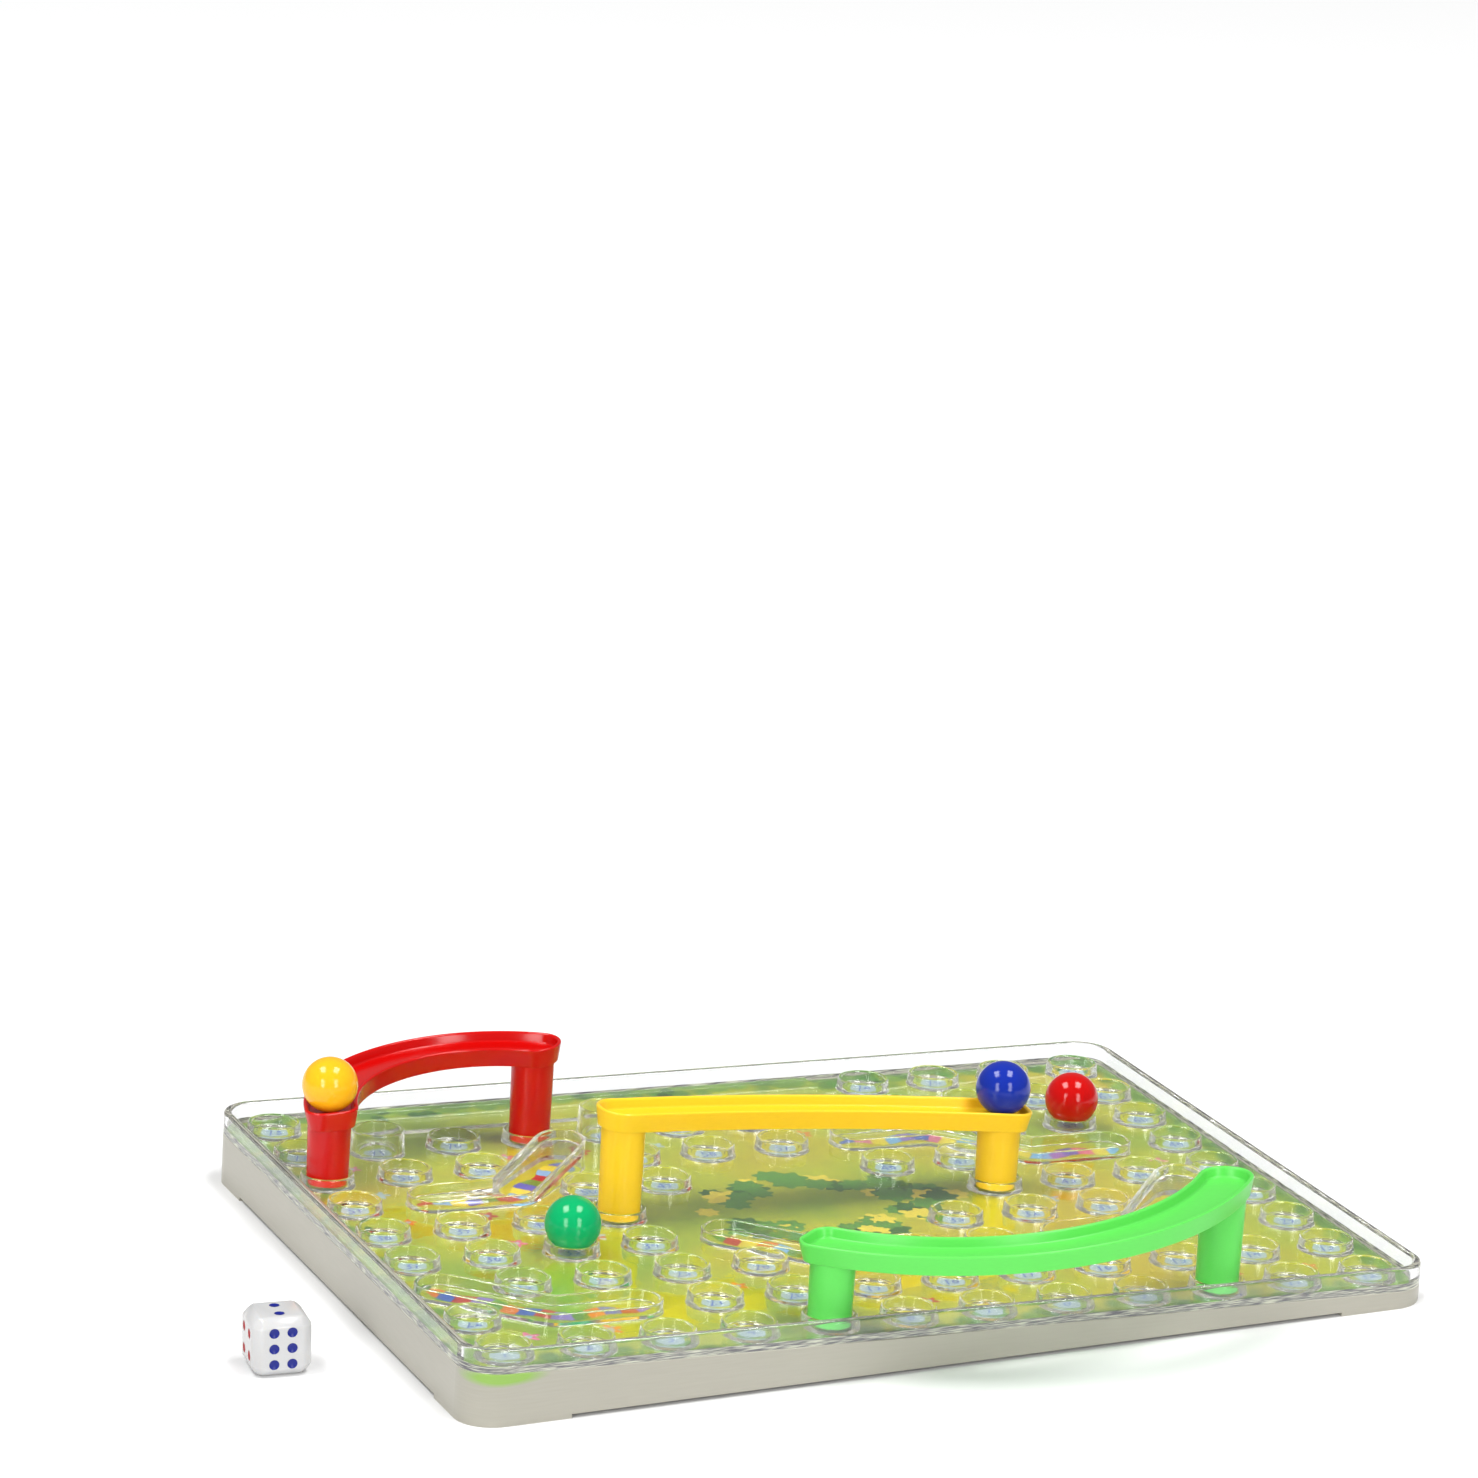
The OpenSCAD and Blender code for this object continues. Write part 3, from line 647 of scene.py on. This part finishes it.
# The base gets the grey of painted shade, for the shaded floor seen through its skirt.
dress("base", base_painted_shade)
print("base dressed")

# %% [markdown]
# ## The slides
# A slide is a channel that bends about a centre. Its outline has two corners at each end, and its
# profile runs from the hollow underneath, round the lower edge, up the leaning side, over the rim
# and down to the floor of the channel. Each profile point draws the outline in by its inset.

# %% Profile of a slide
SLIDE_W, WALL, DEPTH, SLIDE_H, DRAFT = 14.606, 1.2, 2.7, 5.5, 1.0
UNDER_FLOOR = DEPTH + WALL


def lean(z):
    """How far the side leans in at a depth below the rim."""
    return DRAFT * -z / SLIDE_H


hollow_edge, floor_edge = WALL + lean(-UNDER_FLOOR), WALL + lean(-DEPTH)
slide_side = [  # inset from the outline, height from the rim
    (hollow_edge + 0.4, -UNDER_FLOOR), (hollow_edge + 0.1, -UNDER_FLOOR - 0.12),
    (hollow_edge + 0.05, -UNDER_FLOOR - 0.4), (WALL + DRAFT, -SLIDE_H + 0.15),
    (WALL + DRAFT - 0.15, -SLIDE_H), (DRAFT + 0.25, -SLIDE_H), (DRAFT + 0.06, -SLIDE_H + 0.08),
    (DRAFT - 0.02, -SLIDE_H + 0.3), (lean(-0.6), -0.6), (0.14, -0.28), (0.33, -0.08), (0.6, 0),
    (WALL - 0.33, -0.08), (WALL - 0.14, -0.28), (WALL + lean(-0.6), -0.6),
    (floor_edge - 0.1, -DEPTH + 0.6), (floor_edge + 0.15, -DEPTH + 0.2),
    (floor_edge + 0.6, -DEPTH)]
print("a slide's profile has", len(slide_side), "points")

# %% [markdown]
# A sweep along a curve would give square or round ends. These channels have corners of two
# different sizes, so each long side is worked out: a corner, the bend and the other corner.

# %% Outline of a slide
LOW_CORNER, HIGH_CORNER = 0.68 * SLIDE_W / 2, 0.93 * SLIDE_W / 2
CORNER_STEPS = 8


def at(radius, angle):
    return Vector((radius * math.cos(angle), radius * math.sin(angle)))


def long_side(r, half, corners, inset, edge, bends):
    """The outer (edge 1) or the inner side (edge -1) of a channel bent to radius r."""
    centres = [r + edge * (SLIDE_W / 2 - corner) for corner in corners]
    turns = [math.asin(corner / centre) for corner, centre in zip(corners, centres)]
    behind = 0 if edge > 0 else math.pi
    start, end = turns[0] - half, half - turns[1]
    shares = [i / CORNER_STEPS for i in range(CORNER_STEPS + 1)]
    points = [at(centres[0], start) + at(corners[0] - inset, -half - math.pi / 2
              + (turns[0] + math.pi / 2 - behind) * share) for share in shares]
    points += [at(r + edge * (SLIDE_W / 2 - inset), start + (end - start) * i / bends)
               for i in range(1, bends)]
    points += [at(centres[1], end) + at(corners[1] - inset, end + behind
               + (math.pi / 2 + turns[1] - behind) * share) for share in shares]
    return points


print("corners of", round(LOW_CORNER, 2), "and", round(HIGH_CORNER, 2), "mm")

# %% [markdown]
# Each slide stands on a line between two cups. A matrix puts the slide's own plane on its low
# leg, turns it towards the high leg and tilts it up to the high end. The sideways bow and the
# distance of the legs give the radius of the bend.

# %% Build the three slides
LOW_REACH, HIGH_REACH = 8.203, 7.403
slides = {  # cups of the low and high leg, height over each, bow and the side that it bows to
    "red": ((1, 3), (4, 2), 22.9, 28.6, 18.0, 1),
    "yellow": ((9, 5), (4, 5), 23.2, 31.2, 3.3, -1),
    "green": ((5, 9), (10, 9), 23.2, 31.2, 24.6, -1),
}
slopes = {}
for colour, (low_cell, high_cell, low_h, high_h, bow, way) in slides.items():
    foot, chord = spot(low_cell), spot(high_cell) - spot(low_cell)
    slopes[colour] = (high_h - low_h) / chord.length
    tilt = math.atan(slopes[colour])
    length = chord.length / math.cos(tilt)
    r = (length * length / 4 + bow * bow) / (2 * bow)
    half = math.asin(length / 2 / r) + (LOW_REACH + HIGH_REACH) / 2 / r
    shift = (LOW_REACH - HIGH_REACH) / 2 / r
    corners = (HIGH_CORNER, LOW_CORNER) if way > 0 else (LOW_CORNER, HIGH_CORNER)
    plane = (DECK @ Matrix.Translation((foot.x, foot.y, low_h))
             @ Matrix.Rotation(math.atan2(chord.y, chord.x), 4, "Z")
             @ Matrix.Rotation(-tilt, 4, "Y"))
    about = (plane @ Matrix.Translation((length / 2, way * (bow - r), 0))
             @ Matrix.Rotation(way * (math.pi / 2 + shift), 4, "Z"))
    bends = max(12, round(math.degrees(2 * half) / 2))
    outlines = []
    for inset, z in slide_side:
        outer = long_side(r, half, corners, inset, 1, bends)
        inner = long_side(r, half, corners, inset, -1, bends)
        outlines.append([(p.x, p.y, z) for p in outer + inner[::-1]])
    skin = Skin()
    rows = skin.draw(outlines)
    skin.fold(rows[0])
    skin.fold(rows[-1])
    channel = skin.piece(colour + "_channel", colour + "_slide_set", colour + "_slide",
                         [plastics[colour + "_slide"]], sharp=50, place=about)
    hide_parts(colour + "_slide")

# %% [markdown]
# ## The legs
# A leg is a tapered tube that stands on the seat of a cup. Its top is cut at the slope of the
# slide, so each point of the top rows is lowered or raised to the slide's lower edge.

# %% Build the legs
LEG_TOP_R, LEG_FOOT_R, LEG_WALL, FOOT_Z, BORE_DEEP = 5.95, 5.6, 1.2, SEAT + 0.2, 2.5
TAPER_STEPS, LEG_SIDES = 6, 64


def leg(colour, end):
    """The leg at the low end (0) or the high end (1) of a slide."""
    low_cell, high_cell, *heights = slides[colour][:4]
    centre, top, slope = spot((low_cell, high_cell)[end]), heights[end], slopes[colour]
    run = (spot(high_cell) - spot(low_cell)).normalized()
    edge = top - SLIDE_H / math.cos(math.atan(slope))
    bore = LEG_TOP_R - LEG_WALL

    def ring(r, z, follows):
        return [(x, y, z + follows * slope * (Vector((x, y)) - centre).dot(run))
                for x, y, z in circle(centre, r, z, LEG_SIDES)]

    outer = [(LEG_FOOT_R - 0.25, FOOT_Z, 0), (LEG_FOOT_R - 0.06, FOOT_Z + 0.06, 0),
             (LEG_FOOT_R, FOOT_Z + 0.3, 0)]
    for i in range(1, TAPER_STEPS + 1):
        part = i / TAPER_STEPS
        outer.append((LEG_FOOT_R + (LEG_TOP_R - LEG_FOOT_R) * part * (edge / top),
                      FOOT_Z + 0.3 + (edge - FOOT_Z - 0.35) * part, part ** 3))
    outer.append((outer[-1][0] - 0.05, edge, 1))
    hollow = [(bore, edge - BORE_DEEP, 1), (bore, FOOT_Z + 0.3, 0), (bore + 0.2, FOOT_Z, 0)]
    skin = Skin()
    rows = skin.draw([ring(*o) for o in outer])
    inner = skin.draw([ring(*i) for i in hollow])
    skin.band(inner[-1], rows[0])
    skin.lid(rows[-1])
    skin.lid(inner[0])
    word = ("low", "high")[end]
    tube = skin.piece(f"{colour}_{word}_tube", colour + "_slide_set", colour + "_slide",
                      [plastics[colour + "_slide"]], sharp=50)
    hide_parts(f"{colour}_{word}_leg")


for colour in slides:
    leg(colour, 0)
    leg(colour, 1)

# %% [markdown]
# ## The balls
# A ball is moulded in two halves, so it carries a fine parting line. It is turned from a profile
# here, like a bead on a lathe, with a groove a few hundredths of a millimetre deep at the joint.

# %% Turn the balls
BALL_R, BALL_ROWS, BALL_SIDES = 7.45, 48, 96
GROOVE, GROOVE_ROWS, HINGE = 0.0025, 0.6, (0.6, 0.8, 0)


def ball(node, lean_by):
    """A ball in the place of its node, its parting line leaning by an angle."""
    low_corner, high_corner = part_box(node)
    skin, outlines = Skin(), []
    for i in range(1, BALL_ROWS):
        a = math.pi * i / BALL_ROWS
        from_line = (i - BALL_ROWS / 2) / GROOVE_ROWS
        r = BALL_R * (1 - GROOVE * math.exp(-from_line ** 2))
        outlines.append(circle((0, 0), r * math.sin(a), -r * math.cos(a), BALL_SIDES))
    rows = skin.draw(outlines)
    skin.lid(rows[0])
    skin.lid(rows[-1])
    place = (Matrix.Translation((low_corner + high_corner) / 2)
             @ Matrix.Rotation(lean_by, 4, HINGE) @ Matrix.Scale(MM, 4))
    turned = skin.piece(node + "_turned", node, node, [plastics[node]], sharp=80, place=place)
    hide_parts(node)


for node, lean_by in (("yellow_ball", 0.5), ("blue_ball", 1.2), ("red_ball", 2.0),
                      ("green_ball", 0.9)):
    ball(node, lean_by)

# %% [markdown]
# ## The die
# The die is a cube with softened edges and shallow drilled pips, painted blue or red. Each face
# is described once, lying flat, with its pips in shares of the width, and then turned into place.

# %% Sizes and pips of the die
DIE_W, DIE_R, PIP_R, PIP_DEEP, CORNER_SHARE = 15.4, 2.8, 1.35, 0.4, 0.69
BOWL_R = (PIP_R ** 2 + PIP_DEEP ** 2) / (2 * PIP_DEEP)
PAINT_R, PAINT_T, DIE_TURN = 0.97 * PIP_R, 0.02, -6
low_corner, high_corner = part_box("die")
die_place = (Matrix.Translation((low_corner + high_corner) / 2)
             @ Matrix.Rotation(math.radians(DIE_TURN), 4, "Z") @ Matrix.Scale(MM, 4))
ivory = moulded("die_ivory", (194, 194, 194), deep=0.2, rough=0.2, ripple=0.01)
pip_blue = moulded("pip_blue", (14, 28, 124), deep=0.0, rough=0.3)
pip_red = moulded("pip_red", (158, 24, 30), deep=0.0, rough=0.3)
BLUE, RED = 0, 1
one = [(0, 0)]
two = [(0, -0.19), (0, 0.19)]
three = [(-0.2, 0.2), (0, 0), (0.2, -0.2)]
four = [(-0.19, -0.19), (-0.19, 0.19), (0.19, -0.19), (0.19, 0.19)]
six = [(x, y) for x in (-0.15, 0.15) for y in (-0.27, 0, 0.27)]
faces = [  # turn about X, turn about Y, pips, paint
    (0, 0, two, BLUE), (180, 0, four + one, BLUE), (90, 0, six, BLUE),
    (-90, 0, one, RED), (0, -90, four, RED), (0, 90, three, BLUE)]
print("pip bowls have a radius of", round(BOWL_R, 2), "mm")

# %% [markdown]
# A pip is part of a ball cut out of the cube. The cube is bevelled, its corners are drawn in a
# little, and one ball is set for each pip. A thin painted bowl lies just above each hollow, which
# keeps the edge of the paint round: paint picked by a material's nodes would blur there.

# %% Draw the cube, the cutters and the paint
def plain_object(name, work):
    """Turns a bmesh into an object of the scene."""
    mesh = bpy.data.meshes.new(name)
    work.to_mesh(mesh)
    work.free()
    made = bpy.data.objects.new(name, mesh)
    bpy.context.scene.collection.objects.link(made)
    return made


cube = bmesh.new()
bmesh.ops.create_cube(cube, size=DIE_W)
bmesh.ops.bevel(cube, geom=cube.edges[:], offset=DIE_R, segments=8, profile=0.5, affect="EDGES")
for v in cube.verts:
    v.co *= min(1, DIE_W * CORNER_SHARE / v.co.length)
die = plain_object("die_body", cube)
cutter, paint_skin = bmesh.new(), Skin()
for turn_x, turn_y, pips, colour in faces:
    turn = (Matrix.Rotation(math.radians(turn_y), 4, "Y")
            @ Matrix.Rotation(math.radians(turn_x), 4, "X"))
    for px, py in pips:
        centre = Vector((px * DIE_W, py * DIE_W, DIE_W / 2 - PIP_DEEP + BOWL_R))
        bmesh.ops.create_icosphere(cutter, subdivisions=5, radius=BOWL_R,
                                   matrix=turn @ Matrix.Translation(centre))
        outlines = []
        for k in range(1, 6):
            r = PAINT_R * k / 5
            z = centre.z - math.sqrt((BOWL_R - PAINT_T) ** 2 - r * r)
            outlines.append([turn @ Vector(p) for p in circle(centre, r, z, 32)])
        paint_skin.lid(paint_skin.draw(outlines, paint=colour)[0], paint=colour)
cutters = plain_object("pip_cutter", cutter)
print(sum(len(pips) for _, _, pips, _ in faces), "pips on", len(faces), "faces")

# %% [markdown]
# The boolean is worked out once and its result kept as a plain mesh, so that the cutters can go.
# Only edges sharper than 30 degrees stay sharp: the corners look soft and the pips crisp.

# %% Cut the pips
cut = die.modifiers.new("pips", "BOOLEAN")
cut.operation, cut.object, cut.solver = "DIFFERENCE", cutters, "EXACT"
bpy.context.view_layer.update()
whole = bpy.data.meshes.new_from_object(die.evaluated_get(bpy.context.evaluated_depsgraph_get()))
die.modifiers.clear()
die.data = whole
bpy.data.objects.remove(cutters)
whole.transform(die_place)
whole.materials.clear()
whole.materials.append(ivory)
whole.polygons.foreach_set("use_smooth", [True] * len(whole.polygons))
whole.set_sharp_from_angle(angle=math.radians(30))
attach(die, "die")
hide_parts("die")
paint_skin.piece("die_pips", "die", "die", [pip_blue, pip_red], place=die_place)
print("die with", len(whole.polygons), "faces")

# %% [markdown]
# ## The printed card
# The card is printed in yellows and greens, and a leafy hedge runs round its edge. Its ground is
# a mix of slow noises, which need no drawing. The hedge begins where the distance to the card's
# edge, pushed about by a pattern of small cells, falls under its width.

# %% Mix the card's ground
HEDGE_W, HEDGE_SOFT, HEDGE_PUSH = 0.012, 0.005, 0.012
card, tree, print_ink, _ = shader("card_ground")
on_card = tree.nodes.new("ShaderNodeTexCoord").outputs["Object"]
meadow = clouds(tree, 16.0, [(0.36, linear(110, 135, 18)), (0.5, linear(144, 150, 12)),
                             (0.66, linear(160, 146, 8))], detail=4.0, at=on_card)
centred = reckon(tree, "ShaderNodeVectorMath", "SUBTRACT", on_card, BOARD_AT * MM)
apart = tree.nodes.new("ShaderNodeSeparateXYZ")
tree.links.new(centred["Vector"], apart.inputs["Vector"])
to_edges = []
for axis, across in (("X", BOARD_L), ("Y", BOARD_W)):
    size = reckon(tree, "ShaderNodeMath", "ABSOLUTE", apart.outputs[axis])[0]
    to_edges.append(reckon(tree, "ShaderNodeMath", "SUBTRACT", across / 2 * MM, size)[0])
nearest = reckon(tree, "ShaderNodeMath", "MINIMUM", *to_edges)[0]
leafy = tree.nodes.new("ShaderNodeTexVoronoi")
leafy.inputs["Scale"].default_value = 170.0
tree.links.new(on_card, leafy.inputs["Vector"])
pushed = reckon(tree, "ShaderNodeMath", "MULTIPLY_ADD", leafy.outputs["Distance"], HEDGE_PUSH,
                nearest)[0]
leaf_tones = tones(tree, leafy.outputs["Color"],
                   [(0, linear(50, 96, 24)), (1, linear(106, 140, 40))])
ground = tree.nodes.new("ShaderNodeMix")
ground.data_type = "RGBA"
tree.links.new(fade(tree, pushed, HEDGE_W, HEDGE_W + HEDGE_SOFT), ground.inputs["Factor"])
tree.links.new(meadow, ground.inputs["A"])
tree.links.new(leaf_tones, ground.inputs["B"])
tree.links.new(ground.outputs["Result"], print_ink.inputs["Base Color"])
print_ink.inputs["Roughness"].default_value = 0.45
dress("printed_card", card)
print("card ground mixed of", len(tree.nodes), "nodes")

# %% [markdown]
# Figures with crisp edges are cut as flat shapes and laid on the card in thin layers, inside the
# gap between the card and the tray. A figure is a fan of triangles or a strip, with the number
# of its ink. The inks are printed dots, so they vary a little.

# %% Inks and simple figures
ink_colours = {
    "white": (142, 160, 160), "blue": (40, 76, 148), "red": (154, 28, 32),
    "pink": (180, 94, 120), "leaf": (70, 120, 34), "dark_leaf": (42, 88, 22),
    "orange": (184, 98, 22), "lilac": (112, 96, 156), "lemon": (190, 174, 44),
    "sky": (96, 148, 180)}
ink_names = list(ink_colours)
inks = [moulded("ink_" + n, c, deep=0.0, rough=0.45, ripple=0.0) for n, c in ink_colours.items()]
CARD_Z, LAYER = -DECK_T, 0.012
figures = Skin()


def turns(count):
    """Angles spread evenly round a circle."""
    return [math.tau * i / count for i in range(count)]


def blob(centre, points, ink, layer):
    """A flat figure with its outline given as (radius, angle) about its centre."""
    z = CARD_Z + LAYER * layer
    row = figures.row([(centre[0] + r * math.cos(a), centre[1] + r * math.sin(a), z)
                       for r, a in points])
    figures.lid(row, paint=ink_names.index(ink))


def flower(centre, size, ink, turn):
    petals = [(size * (0.72 + 0.28 * math.cos(5 * a)), a + turn) for a in turns(40)]
    blob(centre, petals, ink, 2)
    blob(centre, [(size * 0.3, a) for a in turns(14)], "white", 3)


def leaf(centre, size, turn, ink):
    outline = [(size * (0.35 + 0.65 * abs(math.cos(a)) ** 1.5), a + turn) for a in turns(24)]
    blob(centre, outline, ink, 1)


print(len(inks), "inks")

# %% [markdown]
# Under each snake the card shows a striped, wavy body. The path is walked in small steps, and a
# mark with a sideways width is set at each. Two marks bound one piece of a stripe.

# %% Print the striped bands under the snakes
stripes = [["red", "sky", "lemon", "blue", "leaf"], ["lilac", "red", "blue", "orange", "leaf"],
           ["blue", "pink", "lemon", "sky", "lilac"], ["orange", "lemon", "red", "leaf", "sky"],
           ["sky", "lilac", "orange", "blue", "lemon"]]
STRIDE, PAST_END, BAND_HALF, BAND_WAVE = 1.1, 4.5, 2.9, 0.9
for (cells, _), order in zip(snakes, stripes):
    path = [spot(c) for c in cells]
    total = sum((b - a).length for a, b in zip(path, path[1:])) + 2 * PAST_END
    marks, count = [], int(total / STRIDE)
    for i in range(count + 1):
        s, k = total * i / count - PAST_END, 0
        while k < len(path) - 2 and s > (path[k + 1] - path[k]).length:
            s -= (path[k + 1] - path[k]).length
            k += 1
        way = (path[k + 1] - path[k]).normalized()
        across = Vector((-way.y, way.x))
        width = BAND_HALF * min(1.0, 0.25 + i / 14) * min(1.0, 0.5 + (count - i) / 5)
        marks.append((path[k] + way * s + across * BAND_WAVE * math.sin(i * 0.42), across * width))
    for i, ((m, w), (n, v)) in enumerate(zip(marks, marks[1:])):
        row = figures.row([(*p, CARD_Z + 2.5 * LAYER) for p in (m + w, n + v, n - v, m - w)])
        figures.lid(row, paint=ink_names.index(order[(i // 4) % 5]))
print("bands printed under", len(snakes), "snakes")

# %% [markdown]
# Each cup has a pale label with its number. The count runs from the front, along one row and back
# along the next, as on any such board. A text object gives the outlines of the digits.

# %% Print the numbered labels
LABEL_SHIFT, LABEL_W, LABEL_H, DIGIT_H = Vector((0, -0.6)), 3.9, 3.2, 4.6
number = 0
for r in range(9, 0, -1):
    for c in range(1, 13) if r % 2 else range(12, 0, -1):
        if (c, r) not in cups:
            continue
        number += 1
        centre = spot((c, r)) + LABEL_SHIFT
        plate = [(LABEL_W if abs(math.cos(a)) > 0.5 else LABEL_H, a) for a in turns(24)]
        blob(centre, plate, "white", 2)
        words = bpy.data.curves.new("number", "FONT")
        words.body, words.size, words.resolution_u = str(number), DIGIT_H, 2
        words.align_x, words.align_y = "CENTER", "CENTER"
        label = bpy.data.objects.new("number", words)
        bpy.context.scene.collection.objects.link(label)
        bpy.context.view_layer.update()
        shape = bpy.data.meshes.new_from_object(label)
        spots = [(centre.x + v.co.x, centre.y + v.co.y, CARD_Z + 4 * LAYER)
                 for v in shape.vertices]
        for polygon in shape.polygons:
            row = figures.row([spots[v] for v in polygon.vertices])
            figures.lid(row, paint=ink_names.index("blue"))
        bpy.data.objects.remove(label)
        bpy.data.curves.remove(words)
        bpy.data.meshes.remove(shape)
print(number, "labels printed")

# %% [markdown]
# Small flowers stand where four cups meet, and loose leaves thicken the hedge. Scattering by
# chance looks natural, and a fixed seed makes every run draw the same card.

# %% Scatter flowers and leaves
chance = random.Random(7)
for k in range(46):
    c, r = chance.randint(1, 11) + 0.5, chance.randint(1, 8) + 0.5
    if 4 < c < 9 and 3 < r < 7:
        continue
    flower(spot((c, r)), chance.uniform(2.6, 3.6),
           chance.choice(["red", "pink", "white", "orange"]), chance.uniform(0, 6))
for k in range(260):
    x, y = chance.uniform(-128, 128), chance.uniform(-96, 96)
    if max(abs(x) / 130, abs(y) / 97) > 0.93:
        leaf((x, y), chance.uniform(2, 4.5), chance.uniform(0, 6),
             chance.choice(["leaf", "dark_leaf", "leaf"]))
print("figures now have", len(figures.faces), "faces")

# %% [markdown]
# The middle of the card has a grove: round bushes in several greens about a pale clearing. The
# bushes overlap, so each is given its own layer to keep the surfaces apart.

# %% Print the grove in the middle
GROVE_L, GROVE_W, BUSH_LIFT = 40, 26, 0.0002
grove = Skin()
middle = spot((6.6, 5.1))
for k in range(70):
    a, far = chance.uniform(0, math.tau), chance.uniform(0.55, 1.0)
    bush = middle + Vector((math.cos(a) * GROVE_L * far, math.sin(a) * GROVE_W * far))
    size = chance.uniform(3.0, 6.5)
    ink = ink_names.index(chance.choice(["leaf", "dark_leaf", "leaf", "lemon"]))
    z = CARD_Z + 0.001 + BUSH_LIFT * k
    edge = [(size * (0.85 + 0.15 * math.cos(7 * b)), b) for b in turns(36)]
    grove.lid(grove.row([(bush.x + r * math.cos(b), bush.y + r * math.sin(b), z)
                         for r, b in edge]), paint=ink)
for skin, name in ((grove, "printed_grove"), (figures, "printed_figures")):
    skin.piece(name, "board", "printed_card", inks)
